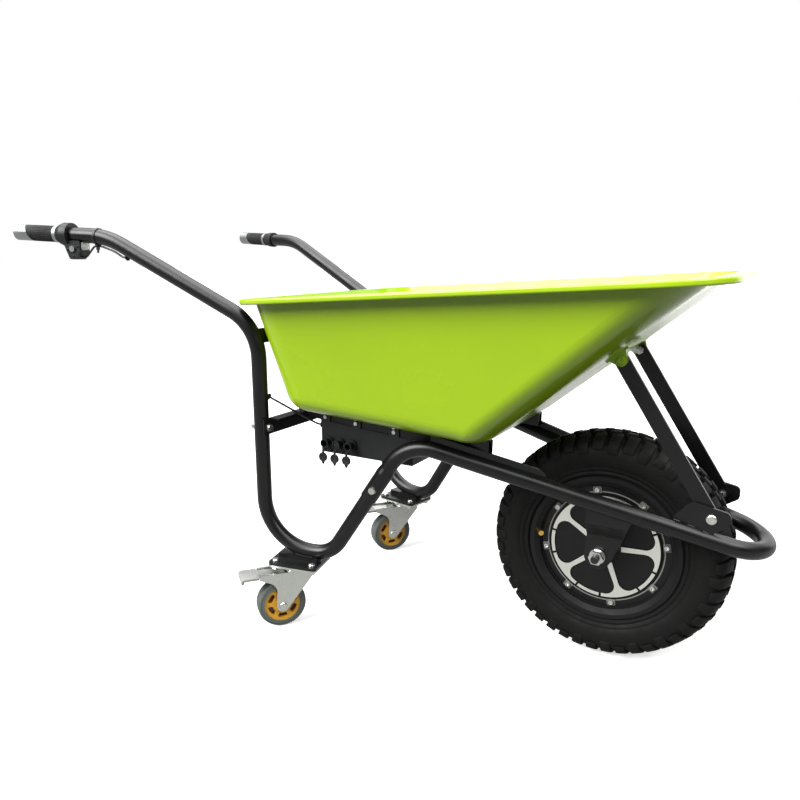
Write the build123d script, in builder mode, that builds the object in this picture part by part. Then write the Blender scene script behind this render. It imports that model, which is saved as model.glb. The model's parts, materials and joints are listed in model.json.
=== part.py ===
"""Electric wheelbarrow: green pressed tub on a bent tube frame, hub motor wheel, two braked casters.

Millimetres. +X runs forward to the drive wheel, +Y to the operator's left, +Z up.
The origin lies on the ground under the middle of the whole machine.
"""

import os
from math import atan, cos, degrees, radians, sin, sqrt, tan

from build123d import *

os.makedirs("parts", exist_ok=True)

# Clearances
RUN = 0.05  # radial play of a shaft in its hole
SLIP = 0.2  # play between a fixed piece and the piece it is pushed into
COPE = 0.15  # gap left for the weld where a plate is cut to fit a tube

# Drive wheel and tyre
TYRE_R = 218.0
TYRE_W = 104.0
TYRE_WALL = 9.0
TREAD_DEPTH = 9.0
TREAD_PITCHES = 46
TREAD_GROOVE = 9.0
RIM_SEAT_R = 127.0
RIM_FLANGE_H = 11.0
RIM_FLANGE_T = 3.5
RIM_W = 84.0
RIM_WELL_DEPTH = 5.5

# Hub motor
HUB_BORE_R = 105.0
HUB_INNER_W = 44.0
COVER_R = 118.0
COVER_T = 5.0
COVER_STEP = 2.0
COVER_DISC_R = 101.0
SPOKE_COUNT = 5
SPOKE_FIRST = 85.7  # degrees from straight up towards the front
SPOKE_RAISE = 2.5
SPOKE_ROOT_W = 10.0
SPOKE_W = 7.5
SPOKE_ROOT_R = 31.0
SPOKE_RING_W = 6.5
SPOKE_FILLET = 17.0
SPOKE_HEAD_SPAN = 42.0  # degrees of ring that each spoke head covers
SPOKE_GAP_SPAN = 2.5  # degrees between a spoke head and the next ring arc
SCREW_CIRCLE_R = 110.0
HUB_SCREWS = 8
HUB_SCREW_FIRST = -11.1
HUB_SCREW_R = 2.5
HUB_SCREW_HEAD_R = 4.2
HUB_SCREW_HEAD_H = 3.5
PAD_W = 16.0
BOSS_R = 29.0
BOSS_OUT = 43.0  # outer end of the bearing boss from the wheel's mid plane
BEARING_R = 21.0
BEARING_W = 12.0
SEAL_R = 14.0
AXLE_R = 10.0
AXLE_COLLAR_R = 12.5
AXLE_END_R = 7.0
AXLE_TIP = 9.0  # thread left showing outside the nut
MAGNET_T = 4.0
MAGNET_W = 40.0
AIR_GAP = 1.0
STATOR_W = 36.0
STATOR_SLOTS = 18
STATOR_TOOTH_DEPTH = 26.0
VALVE_R = 4.0
VALVE_L = 24.0

# Frame tube
TUBE_OD = 30.0
TUBE_WALL = 1.6
SPLAY = 11.585  # degrees by which each side of the frame opens to the rear
SIDE_GAP = 58.9  # tube centre line outside the tyre's side, at the axle
TUBE_RISE = 110.0  # tube centre line above the axle
FRONT_DROP = 13.07  # degrees by which the front run falls forward
BOW_GAP = 25.0  # free space between the tyre and the bow in front of it
FRONT_BEND_R = 80.0
SLEEVE_ANGLE = 58.1  # degrees by which the sleeve run climbs
SLEEVE_START = 152.0  # socket mouth from the foot of the sleeve run
SLEEVE_INSERT = 58.0
SLEEVE_FLARE = 12.0
SLEEVE_BOLT_IN = 25.0
FOOT_FRONT_BACK = 501.0  # foot of the sleeve run behind the axle, along the side
LEG_BACK = 647.0  # leg behind the axle, along the side
LEG_TOP_Z = 610.0
HANDLE_BEND_BACK = 979.0
HANDLE_BEND_Z = 777.0
GRIP_END_BACK = 1208.7
GRIP_END_Z = 788.0
HANDLE_BEND_R = 180.0
LEG_TOP_R = 100.0
FOOT_REAR_R = 105.0
FOOT_FRONT_R = 60.0

# Casters
CASTER_R = 50.0
CASTER_W = 32.0
CASTER_TRAIL = 42.0
CASTER_TURN = 230.0  # degrees from +X to the direction in which the wheel trails
CASTER_BACK = 571.7  # swivel axis behind the axle, along the side
CASTER_HEIGHT = 135.0
CASTER_CORE_R = 37.0
CASTER_SPOKES = 6
CASTER_SPOKE_W = 8.0
CASTER_WEB = 8.0
POCKET_R = 25.5  # middle of the pockets between the spokes
POCKET_W = 10.0
POCKET_CORNER = 2.5
PLATE_L = 105.0
PLATE_W = 85.0
PLATE_T = 4.0
PLATE_HOLES_L = 80.0
PLATE_HOLES_W = 60.0
PLATE_BOLT_R = 4.0
FORK_T = 3.0
FORK_GAP = 38.0  # between the fork's legs
CROWN_R = 33.0
FORK_REACH = 87.0  # how far the fork's top runs back over the wheel
FORK_TIP = 9.0
FORK_END_R = 13.0
CROWN_T = 3.0
RACE_R = 26.0
RACE_H = 7.0
KINGPIN_R = 6.0
CASTER_AXLE_R = 5.0
PEDAL_W = 34.0
PEDAL_T = 3.0
PEDAL_REACH = 123.0
PEDAL_PAD = 34.0
PEDAL_RAISE = 2.5  # pedal sheet above its pin
SHOE_FROM = 46.0
SHOE_L = 12.0
SHOE_DROP = 6.0  # brake shoe below the pedal's pin
PEDAL_PIVOT_X = 20.0
PEDAL_PIN_R = 3.0
MOUNT_PLATE_T = 6.0
MOUNT_SADDLE = 4.0  # height of the welded saddle between the plate and the tube

# Tub
SHEET = 2.0
FLOOR_REAR_BACK = 596.0
FLOOR_FRONT_BACK = 190.0
FLOOR_REAR_Z = 448.4
FLOOR_FRONT_Z = 420.0
FLOOR_REAR_HALF = 232.0
FLOOR_FRONT_HALF = 205.0
FLOOR_CORNER_R = 60.0
FLOOR_EDGE_R = 44.0
WALL_REAR_BACK = 645.0
WALL_FRONT_AHEAD = 156.0
WALL_REAR_Z = 661.5
WALL_FRONT_Z = 714.0
WALL_REAR_HALF = 284.0
WALL_FRONT_HALF = 264.0
WALL_CORNER_R = 75.0
FLANGE_W = 24.0
LIP_H = 10.0
LIP_W = 8.0

# Under the tub
RAIL_W = 20.0
RAIL_H = 28.0
RAIL_WALL = 2.0
RAIL_HALF = 137.0  # rail centre line from the mid plane
RAIL_REAR_BACK = 612.0
RAIL_FRONT_BACK = 190.0
CROSS_T = 4.0
CROSS_H = 32.0
CROSS_FLANGE = 25.0
CROSS_FLANGE_HALF = 236.0
CROSS_Z = 399.0
STIFFENER_T = 5.0
STIFFENER_RISE = 12.0
STIFFENER_REAR_BACK = 300.0
STIFFENER_FRONT_BACK = 90.0
REAR_BRACKET_T = 9.0
REAR_BRACKET_H = 28.0
REAR_BRACKET_Z = 592.0
REAR_BRACKET_IN = 172.0
REAR_BRACKET_BOLT_Y = 183.0

# Battery box
BOX_REAR_BACK = 553.0
BOX_FRONT_BACK = 341.0
BOX_HALF = 150.0
BOX_FLOOR_Z = 350.0
BOX_WALL = 3.0
LID_T = 3.0
EAR_BACKS = (543.0, 470.0, 383.0)
EAR_W = 22.0
BOX_SCREW_R = 3.0
SOCKET_BACKS = (535.0, 507.0, 479.0)
SOCKET_Z = 374.0
SOCKET_R = 9.0
SOCKET_BEZEL_R = 12.5
SOCKET_OUT = 18.0
SOCKET_BEZEL_T = 4.0
CAP_R = 9.5
CAP_T = 5.0
CAP_DROP = 14.0
CAP_TAB = 6.0
CAP_HINGE_OUT = 3.0
BUTTON_R = 5.5
BUTTON_TRAVEL = 3.0
PACK_L = 130.0
PACK_W = 240.0
PACK_H = 40.0
CONTROLLER_L = 56.0
CONTROLLER_W = 120.0
CONTROLLER_H = 34.0

# Dropouts, struts and fasteners
DROPOUT_IN = 73.0  # inner face of the dropout from the mid plane
DROPOUT_T = 6.0
DROPOUT_R = 24.0
DROPOUT_TOP_BACK = 18.0
DROPOUT_TOP_AHEAD = 62.0
DROPOUT_JOG_TOP = 70.0
DROPOUT_JOG_LOW = 40.0
BRACKET_T = 5.0
BRACKET_OUT = 80.0  # middle of the strut bracket from the mid plane
STRUT_W = 25.0
STRUT_T = 6.0
STRUT_BOLT_AHEAD = 176.0
STRUT_BOLT_RISE = 107.0  # above the axle
STRUT_TOP_Z = 583.0
STRUT_TOP_OFF = 13.0
STRUT_END_GAP = 0.5
EAR_T = 4.0
TOP_PLATE_H = 44.0
BOLT_R = 4.0
HEAD_R = 8.0
HEAD_H = 5.0
NUT_R = 7.5
NUT_H = 6.5
HEAD_CLEAR = 0.1  # under a bolt head on the curved rear wall
WASHER_T = 2.5
AXLE_NUT_R = 13.5
AXLE_NUT_H = 11.0
AXLE_WASHER_R = 14.0

# Grips and throttle, measured outwards from the tube's end along the grip
GRIP_L = 144.0
STUB_R = 11.1
STUB_BORE_R = 8.0
STUB_INSERT = 44.0
GRIP_R = 16.0
COLLAR_R = 23.3
COLLAR_FROM = 0.5
COLLAR_L = 16.5
FLARE_L = 14.0
FLARE_R = 21.5
RING_L = 8.0
RING_R = 16.8
END_TOP = 30.0  # metal end along the top of the grip
END_LOW = 46.0  # and along the bottom, as the joint is slanted
THROTTLE_GAP = 0.6
HOUSING_W = 29.0
HOUSING_DEPTH = 48.0
HOUSING_BACK = 11.0
HOUSING_FRONT = 28.0
REVERSE_R = 6.0
REVERSE_TRAVEL = 3.0

# Throttle lead
LEAD_R = 2.0
GROMMET_R = 4.4
GROMMET_FLANGE_R = 6.5
TIE_W = 4.5
TIE_ALONG = 64.0  # from the tube's end
TIE_T = 1.2
TIE_TAIL = 11.0
LEAD_ENTRY = 52.0  # where the lead turns into the handle, past the handle bend
LEAD_ENTRY_ANGLE = 40.0
LEAD_BEND = 27.0  # where the lead follows the handle's bend, past its corner
LEAD_LEG_Z = 482.0
LEAD_NOTCH_R = 6.0  # room for the lead in the cross member's flange
GLAND_Y = 130.0
GLAND_Z = 402.0
GLAND_R = 7.0
GLAND_L = 14.0

# Places worked out from the sizes
side_offset = TYRE_W / 2 + SIDE_GAP
splay_tan = tan(radians(SPLAY))
splay_cos = cos(radians(SPLAY))
apex_ahead = side_offset / splay_tan
run_fall = tan(radians(FRONT_DROP))  # fall of the front run per step along the side
run_fall_x = run_fall / splay_cos  # and per step along +X
tube_axle_z = TYRE_R + TUBE_RISE
bow_ahead = TYRE_R + BOW_GAP + TUBE_OD / 2
bow_half_angle = atan(splay_tan / sqrt(1 + run_fall_x**2))
bow_r = (apex_ahead - bow_ahead) * sqrt(1 + run_fall_x**2) / (1 / sin(bow_half_angle) - 1)
grip_fall = (GRIP_END_Z - HANDLE_BEND_Z) / (GRIP_END_BACK - HANDLE_BEND_BACK)
rear_reach = GRIP_END_BACK * splay_cos + GRIP_R * sin(radians(SPLAY))
wheel_x = (rear_reach - bow_ahead - TUBE_OD / 2) / 2
foot_z = CASTER_HEIGHT + MOUNT_PLATE_T + MOUNT_SADDLE + TUBE_OD / 2
wheel_centre = Vector(wheel_x, 0, TYRE_R)
wheel_axis = Axis(wheel_centre, (0, 1, 0))
wheel_section = Plane(origin=wheel_centre, x_dir=(0, 1, 0), z_dir=(1, 0, 0))
wheel_side = Plane(origin=wheel_centre, x_dir=(1, 0, 0), z_dir=(0, -1, 0))
right_side = Plane(
    origin=(wheel_x, -side_offset, 0),
    x_dir=(splay_cos, sin(radians(SPLAY)), 0),
    z_dir=(sin(radians(SPLAY)), -splay_cos, 0),
)


def on_side(along, up, out=0.0):
    """Point on the right side of the frame: along from the axle, height, and out to the right."""
    return right_side.from_local_coords(Vector(along, up, out))


def rel_x(ahead):
    """X of a place given ahead of the axle."""
    return wheel_x + ahead


def swept_tube(points, radii, outer, inner=0.0):
    """Tube along straight runs joined by tangent arcs."""
    with BuildPart() as tube:
        with BuildLine() as route:
            FilletPolyline(*points, radius=radii)
        with BuildSketch(Plane(route.line @ 0, z_dir=route.line % 0)):
            Circle(outer)
            if inner:
                Circle(inner, mode=Mode.SUBTRACT)
        sweep()
    return tube.part


def rod(start, end, radius):
    """Round bar between two points."""
    run = Vector(*end) - Vector(*start)
    with BuildPart() as bar:
        with BuildSketch(Plane(Vector(*start), z_dir=run)):
            Circle(radius)
        extrude(amount=run.length)
    return bar.part


def hex_prism(start, direction, radius, height):
    """Hexagon nut blank standing on a face."""
    with BuildPart() as blank:
        with BuildSketch(Plane(Vector(*start), z_dir=direction)):
            RegularPolygon(radius, 6)
        extrude(amount=height)
    return blank.part


def domed_bolt(seat, direction, grip, head_r=HEAD_R, shank_r=BOLT_R, nut_r=NUT_R, tail=4.0):
    """Bolt with a domed head on the seat, a shank through the grip and a nut behind it."""
    aim = Vector(*direction).normalized()
    with BuildPart() as bolt:
        with BuildSketch(Plane(Vector(*seat), z_dir=aim * -1)):
            Circle(head_r)
        extrude(amount=HEAD_H)
        fillet(bolt.edges().group_by(SortBy.LENGTH)[-1].sort_by(Axis(Vector(*seat), aim))[0], HEAD_H * 0.7)
        with BuildSketch(Plane(Vector(*seat), z_dir=aim)):
            Circle(shank_r)
        extrude(amount=grip + NUT_H + tail)
        with BuildSketch(Plane(Vector(*seat) + aim * grip, z_dir=aim)):
            RegularPolygon(nut_r, 6)
        extrude(amount=NUT_H)
    return bolt.part


# Frame: the rear tubes carry the handles, legs, foot loops and sleeve runs
grip_dir = Vector(HANDLE_BEND_BACK - GRIP_END_BACK, GRIP_END_Z - HANDLE_BEND_Z, 0).normalized()
tube_end = Vector(-GRIP_END_BACK, GRIP_END_Z, 0) - grip_dir * GRIP_L
sleeve_dir = Vector(cos(radians(SLEEVE_ANGLE)), sin(radians(SLEEVE_ANGLE)), 0)
foot_front = Vector(-FOOT_FRONT_BACK, foot_z, 0)
sleeve_top = foot_front + sleeve_dir * (SLEEVE_START + SLEEVE_INSERT)
rear_points = [
    tube_end,
    Vector(-HANDLE_BEND_BACK, HANDLE_BEND_Z, 0),
    Vector(-LEG_BACK, LEG_TOP_Z, 0),
    Vector(-LEG_BACK, foot_z, 0),
    foot_front,
    sleeve_top,
]
rear_route = [on_side(p.X, p.Y) for p in rear_points]
rear_radii = [HANDLE_BEND_R, LEG_TOP_R, FOOT_REAR_R, FOOT_FRONT_R]
rear_envelope = swept_tube(rear_route, rear_radii, TUBE_OD / 2 + COPE)

# The front tube runs from one sleeve round the wheel to the other sleeve
front_line_z = tube_axle_z
climb = tan(radians(SLEEVE_ANGLE))
bend_along = (front_line_z - foot_z - climb * FOOT_FRONT_BACK) / (climb + run_fall)
bend_point = Vector(bend_along, front_line_z - run_fall * bend_along, 0)
sleeve_mouth = foot_front + sleeve_dir * SLEEVE_START
flare_end = sleeve_mouth + sleeve_dir * (SLEEVE_INSERT + SLEEVE_FLARE + 4)
bow_point = Vector(rel_x(apex_ahead), 0, front_line_z - run_fall_x * apex_ahead)
front_half = [on_side(flare_end.X, flare_end.Y), on_side(bend_point.X, bend_point.Y)]
front_route = front_half + [bow_point] + [Vector(p.X, -p.Y, p.Z) for p in reversed(front_half)]
front_radii = [FRONT_BEND_R, bow_r, FRONT_BEND_R]
front_envelope = swept_tube(front_route, front_radii, TUBE_OD / 2 + COPE)
socket_in = TUBE_OD / 2 + SLIP
socket_out = socket_in + TUBE_WALL


def upright(y):
    """Plane standing along the machine, its own axes being X and Z; it faces the right."""
    return Plane(origin=(0, y, 0), x_dir=(1, 0, 0), z_dir=(0, -1, 0))


def both_sides(piece):
    """A piece and its mirror image on the other side of the machine."""
    with BuildPart() as pair:
        add(piece)
        mirror(piece, about=Plane.XZ)
    return pair.part


def coped_bolt(centre, outward, along, tube_r, head_r=HEAD_R):
    """Bolt through a round tube, with its head and nut shaped to sit on the tube."""
    aim = Vector(*outward).normalized()
    run = Vector(*along).normalized()
    centre = Vector(*centre)
    sink = tube_r - sqrt(tube_r**2 - head_r**2) + 0.3
    with BuildPart() as bolt:
        with BuildSketch(Plane(centre + aim * (tube_r - sink), z_dir=aim)):
            Circle(head_r)
        extrude(amount=sink + HEAD_H, taper=12)
        with BuildSketch(Plane(centre - aim * (tube_r - sink), z_dir=aim * -1)):
            RegularPolygon(NUT_R, 6)
        extrude(amount=sink + NUT_H)
        add(rod(centre - run * 40, centre + run * 40, tube_r + 0.02), mode=Mode.SUBTRACT)
        add(rod(centre + aim * (tube_r + HEAD_H - 1), centre - aim * (tube_r + NUT_H + 3), BOLT_R))
    return bolt.part


sleeve_run = (on_side(sleeve_top.X, sleeve_top.Y) - on_side(foot_front.X, foot_front.Y)).normalized()
side_out = right_side.z_dir
sleeve_bolt_at = on_side(sleeve_mouth.X, sleeve_mouth.Y) + sleeve_run * SLEEVE_BOLT_IN
leg_x = rel_x(-LEG_BACK * splay_cos)
leg_y = side_offset + LEG_BACK * sin(radians(SPLAY))
cross_bolt_z = CROSS_Z + 13
leg_bolt_at = Vector(leg_x, -leg_y, cross_bolt_z)
bolt_hole = BOLT_R + 0.1

# The throttle lead's way along the right handle, in the side's own plane
handle_run = (rear_points[2] - rear_points[1]).normalized()
handle_below = Vector(handle_run.Y, -handle_run.X, 0)
grip_up = Vector(-grip_dir.Y, grip_dir.X, 0) * -1
lead_below = TUBE_OD / 2 + LEAD_R + 1.0
entry_below = lead_below + 3
entry_turn = rear_points[1] + handle_run * LEAD_ENTRY + handle_below * entry_below
entry_ahead = entry_below / tan(radians(LEAD_ENTRY_ANGLE))
entry_core = entry_turn + handle_run * entry_ahead - handle_below * entry_below


def at_grip(out, up):
    """Point in the side's plane: out along the grip from the tube's end, and up from its axis."""
    return tube_end + grip_dir * out + grip_up * up


lead_flat = [
    at_grip(-12, -HOUSING_DEPTH + 8),
    at_grip(-30, -HOUSING_DEPTH + 3),
    at_grip(-54, -lead_below - 1.0),
    at_grip(-72, -lead_below - 1.8),
    rear_points[1] + handle_run * LEAD_BEND + handle_below * (lead_below + 1.0),
    entry_turn,
    entry_core,
    rear_points[2],
    Vector(-LEG_BACK, LEAD_LEG_Z, 0),
]
gland_face = Vector(rel_x(-BOX_REAR_BACK), -GLAND_Y, GLAND_Z)
gland_turn = gland_face - Vector(GLAND_L + 10, 0, 0)
lead_route = [on_side(q.X, q.Y) for q in lead_flat] + [gland_turn, gland_face + Vector(BOX_WALL, 0, 0)]
lead_radii = [14, 16, 20, 60, 20, 20, LEG_TOP_R, 20, 12]
entry_from = on_side(entry_turn.X, entry_turn.Y)
entry_to = on_side(entry_core.X, entry_core.Y)
exit_from = lead_route[8]
exit_dir = (gland_turn - exit_from).normalized()
entry_dir = (entry_to - entry_from).normalized()

with BuildPart() as rear_frame_tube_right:
    add(swept_tube(rear_route, rear_radii, TUBE_OD / 2, TUBE_OD / 2 - TUBE_WALL))
    add(rod(entry_from, entry_to, GROMMET_R + COPE), mode=Mode.SUBTRACT)
    add(rod(exit_from, exit_from + exit_dir * TUBE_OD, GROMMET_R + COPE), mode=Mode.SUBTRACT)
    add(rod(sleeve_bolt_at - side_out * 30, sleeve_bolt_at + side_out * 30, bolt_hole), mode=Mode.SUBTRACT)
    add(rod(leg_bolt_at - Vector(30, 0, 0), leg_bolt_at + Vector(30, 0, 0), bolt_hole), mode=Mode.SUBTRACT)

with BuildPart() as rear_frame_tube_left:
    mirror(swept_tube(rear_route, rear_radii, TUBE_OD / 2, TUBE_OD / 2 - TUBE_WALL), about=Plane.XZ)
    for place, way in ((sleeve_bolt_at, side_out), (leg_bolt_at, Vector(1, 0, 0))):
        mirror(rod(place - way * 30, place + way * 30, bolt_hole), about=Plane.XZ, mode=Mode.SUBTRACT)

sleeve_section = Plane(on_side(sleeve_mouth.X, sleeve_mouth.Y), x_dir=sleeve_run, z_dir=side_out)
with BuildPart() as sleeve:
    with BuildSketch(sleeve_section):
        with BuildLine():
            Polyline(
                (0, socket_in),
                (SLEEVE_INSERT + 4, socket_in),
                (SLEEVE_INSERT + 4 + SLEEVE_FLARE, TUBE_OD / 2 - TUBE_WALL),
                (SLEEVE_INSERT + 4 + SLEEVE_FLARE, TUBE_OD / 2),
                (SLEEVE_INSERT + 4, socket_out),
                (0, socket_out),
                close=True,
            )
        make_face()
    revolve(axis=Axis(sleeve_section.origin, sleeve_run))

with BuildPart() as front_frame_tube:
    add(swept_tube(front_route, front_radii, TUBE_OD / 2, TUBE_OD / 2 - TUBE_WALL))
    add(both_sides(sleeve.part))
    sleeve_hole = rod(sleeve_bolt_at - side_out * 30, sleeve_bolt_at + side_out * 30, bolt_hole)
    add(both_sides(sleeve_hole), mode=Mode.SUBTRACT)


# Tub: straight drawn walls between a floor outline and a wall outline, each on its own sloping plane
def slope_plane(rear_x, rear_z, front_x, front_z):
    """Plane through two heights, its own X running forward and its own Y to the left."""
    run = Vector(front_x - rear_x, 0, front_z - rear_z)
    return Plane(origin=(rear_x, 0, rear_z), x_dir=run, z_dir=(-run.Z, 0, run.X))


floor_plane = slope_plane(rel_x(-FLOOR_REAR_BACK), FLOOR_REAR_Z, rel_x(-FLOOR_FRONT_BACK), FLOOR_FRONT_Z)
rim_plane = slope_plane(rel_x(-WALL_REAR_BACK), WALL_REAR_Z, rel_x(WALL_FRONT_AHEAD), WALL_FRONT_Z)
floor_l = sqrt((FLOOR_REAR_BACK - FLOOR_FRONT_BACK) ** 2 + (FLOOR_REAR_Z - FLOOR_FRONT_Z) ** 2)
rim_l = sqrt((WALL_REAR_BACK + WALL_FRONT_AHEAD) ** 2 + (WALL_FRONT_Z - WALL_REAR_Z) ** 2)


def floor_z(x):
    """Height of the tub's underside at a place along the machine."""
    slope = (FLOOR_FRONT_Z - FLOOR_REAR_Z) / (FLOOR_REAR_BACK - FLOOR_FRONT_BACK)
    return FLOOR_REAR_Z + slope * (x - rel_x(-FLOOR_REAR_BACK))


def outline(plane, length, rear_half, front_half_w, corner, grow=0.0, nose=None, tail=None):
    """Rounded outline of the tub on a sloping plane, grown or shrunk evenly unless front or rear differ."""
    nose = grow if nose is None else nose
    tail = grow if tail is None else tail
    with BuildSketch(plane) as shape:
        with BuildLine():
            FilletPolyline(
                (length + nose, -front_half_w - grow),
                (length + nose, front_half_w + grow),
                (-tail, rear_half + grow),
                (-tail, -rear_half - grow),
                radius=corner + grow,
                close=True,
            )
        make_face()
    return shape.sketch


front_wall_run = Vector(FLOOR_FRONT_BACK + WALL_FRONT_AHEAD, 0, WALL_FRONT_Z - FLOOR_FRONT_Z).normalized()
front_wall_out = Vector(front_wall_run.Z, 0, -front_wall_run.X)
rear_wall_run = Vector(FLOOR_REAR_BACK - WALL_REAR_BACK, 0, WALL_REAR_Z - FLOOR_REAR_Z).normalized()
rear_wall_out = Vector(-rear_wall_run.Z, 0, rear_wall_run.X)
floor_sizes = (floor_l, FLOOR_REAR_HALF, FLOOR_FRONT_HALF, FLOOR_CORNER_R)
rim_sizes = (rim_l, WALL_REAR_HALF, WALL_FRONT_HALF, WALL_CORNER_R)


def tub_solid(sheet):
    """The tub's outside or, shrunk by the sheet, its inside."""
    floor_nose = -sheet * (1 + front_wall_out.Z) / front_wall_out.X
    floor_tail = sheet * (1 + rear_wall_out.Z) / rear_wall_out.X
    with BuildPart() as solid:
        add(outline(floor_plane.offset(sheet), *floor_sizes, -sheet, floor_nose, floor_tail))
        add(outline(rim_plane, *rim_sizes, -sheet, -sheet / front_wall_out.X, sheet / rear_wall_out.X))
        loft(ruled=True)
        fillet(solid.faces().sort_by(Axis.Z)[0].edges(), FLOOR_EDGE_R - sheet)
    return solid.part


tub_out = tub_solid(0)
tub_in = tub_solid(SHEET)


# Rear wall of the tub, for the brackets on the legs
rear_wall_x = rel_x(
    -FLOOR_REAR_BACK
    + (FLOOR_REAR_BACK - WALL_REAR_BACK) * (REAR_BRACKET_Z - FLOOR_REAR_Z) / (WALL_REAR_Z - FLOOR_REAR_Z)
)
rear_bolt_at = Vector(rear_wall_x, -REAR_BRACKET_BOLT_Y, REAR_BRACKET_Z)
rear_bracket_mid = (REAR_BRACKET_IN + leg_y) / 2
with BuildPart() as rear_bracket:
    wall_spot = Vector(rear_wall_x, -rear_bracket_mid, REAR_BRACKET_Z)
    with BuildSketch(Plane(wall_spot, x_dir=(0, 1, 0), z_dir=rear_wall_out)):
        RectangleRounded(leg_y - REAR_BRACKET_IN, REAR_BRACKET_H, 3)
    extrude(amount=REAR_BRACKET_T)
    add(rear_envelope, mode=Mode.SUBTRACT)
    add(rod(rear_bolt_at, rear_bolt_at + rear_wall_out * 20, bolt_hole), mode=Mode.SUBTRACT)
with BuildPart() as tub_rear_brackets:
    add(both_sides(rear_bracket.part))

# Front wall of the tub and the top bracket of the struts
front_wall_x = rel_x(
    -FLOOR_FRONT_BACK
    + (FLOOR_FRONT_BACK + WALL_FRONT_AHEAD) * (STRUT_TOP_Z - FLOOR_FRONT_Z) / (WALL_FRONT_Z - FLOOR_FRONT_Z)
)
front_wall_at = Vector(front_wall_x, 0, STRUT_TOP_Z)
strut_top = front_wall_at + front_wall_out * STRUT_TOP_OFF
strut_low = Vector(rel_x(STRUT_BOLT_AHEAD), 0, TYRE_R + STRUT_BOLT_RISE)
strut_mid_y = BRACKET_OUT - BRACKET_T / 2 - STRUT_T / 2
ear_out = strut_mid_y + STRUT_T / 2 + EAR_T
with BuildPart() as strut_top_bracket:
    with BuildSketch(Plane(front_wall_at, x_dir=(0, 1, 0), z_dir=front_wall_out)):
        RectangleRounded(2 * ear_out, TOP_PLATE_H, 3)
    extrude(amount=EAR_T)
    with BuildSketch(upright(ear_out)):
        low_edge = front_wall_at - front_wall_run * TOP_PLATE_H * 0.4 + front_wall_out
        high_edge = front_wall_at + front_wall_run * TOP_PLATE_H * 0.4 + front_wall_out
        with BuildLine():
            Line((low_edge.X, low_edge.Z), (high_edge.X, high_edge.Z))
        with Locations((strut_top.X, strut_top.Z)):
            Circle(STRUT_W * 0.44)
        make_hull()
        with Locations((strut_top.X, strut_top.Z)):
            Circle(bolt_hole, mode=Mode.SUBTRACT)
    extrude(amount=EAR_T)
    mirror(about=Plane.XZ)
    for side in (-1, 1):
        spot = front_wall_at + Vector(0, side * ear_out * 0.55, 0)
        add(rod(spot, spot + front_wall_out * 20, bolt_hole), mode=Mode.SUBTRACT)

strut_run = strut_top - strut_low
with BuildPart() as strut:
    with BuildSketch(upright(-strut_mid_y + STRUT_T / 2)):
        middle = (strut_top + strut_low) * 0.5
        tilt = degrees(atan(strut_run.Z / strut_run.X))
        with Locations(Location((middle.X, middle.Z, 0), (0, 0, tilt))):
            SlotCenterToCenter(strut_run.length, STRUT_W)
        with Locations((strut_top.X, strut_top.Z), (strut_low.X, strut_low.Z)):
            Circle(bolt_hole, mode=Mode.SUBTRACT)
    extrude(amount=STRUT_T)
    with BuildSketch(Plane(front_wall_at, x_dir=(0, 1, 0), z_dir=front_wall_out).offset(EAR_T + STRUT_END_GAP)):
        Rectangle(4 * ear_out, 4 * STRUT_W)
    extrude(amount=-STRUT_W, mode=Mode.SUBTRACT)
with BuildPart() as front_struts:
    add(both_sides(strut.part))

with BuildPart() as strut_bracket:
    with BuildSketch(upright(-BRACKET_OUT + BRACKET_T / 2)):
        with BuildLine():
            FilletPolyline(
                (strut_low.X - 60, strut_low.Z - 8),
                (strut_low.X - 33, strut_low.Z + 26),
                (strut_low.X + 28, strut_low.Z + 14),
                (strut_low.X + 29, strut_low.Z - 8),
                (strut_low.X - 6, strut_low.Z - 32),
                (strut_low.X - 60, strut_low.Z - 24),
                radius=[6, 14, 10, 11, 3, 6],
                close=True,
            )
        make_face()
        with Locations((strut_low.X, strut_low.Z)):
            Circle(bolt_hole, mode=Mode.SUBTRACT)
    extrude(amount=BRACKET_T)
    add(front_envelope, mode=Mode.SUBTRACT)
with BuildPart() as strut_brackets:
    add(both_sides(strut_bracket.part))

low_seat = (strut_low.X, -BRACKET_OUT - BRACKET_T / 2, strut_low.Z)
low_bolt = domed_bolt(low_seat, (0, 1, 0), BRACKET_T + STRUT_T, 9)
high_seat = (strut_top.X, -ear_out, strut_top.Z)
high_bolt = domed_bolt(high_seat, (0, 1, 0), STRUT_T + EAR_T)
wall_seat = front_wall_at - front_wall_out * SHEET - Vector(0, ear_out * 0.55, 0)
wall_bolt = domed_bolt(wall_seat, front_wall_out, SHEET + EAR_T)
with BuildPart() as strut_bolts:
    add(both_sides(low_bolt))
    add(both_sides(high_bolt))
    add(both_sides(wall_bolt))

# Cross member, rails and stiffeners
leg_front = leg_x + TUBE_OD / 2
cross_top = CROSS_Z + CROSS_H
cross_half = leg_y + TUBE_OD / 2
with BuildPart() as rear_cross_member:
    with BuildSketch(upright(cross_half)):
        with Locations((leg_front + COPE, CROSS_Z)):
            Rectangle(CROSS_T, CROSS_H, align=(Align.MIN, Align.MIN))
    extrude(amount=2 * cross_half)
    with BuildSketch(upright(CROSS_FLANGE_HALF)):
        with Locations((leg_front + COPE, cross_top)):
            Rectangle(CROSS_FLANGE, CROSS_T - 1, align=(Align.MIN, Align.MAX))
    extrude(amount=2 * CROSS_FLANGE_HALF)
    add(rod(exit_from, gland_turn, LEAD_NOTCH_R), mode=Mode.SUBTRACT)
    for side in (-1, 1):
        spot = Vector(leg_x, side * leg_y, cross_bolt_z)
        add(rod(spot, spot + Vector(40, 0, 0), bolt_hole), mode=Mode.SUBTRACT)

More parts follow.
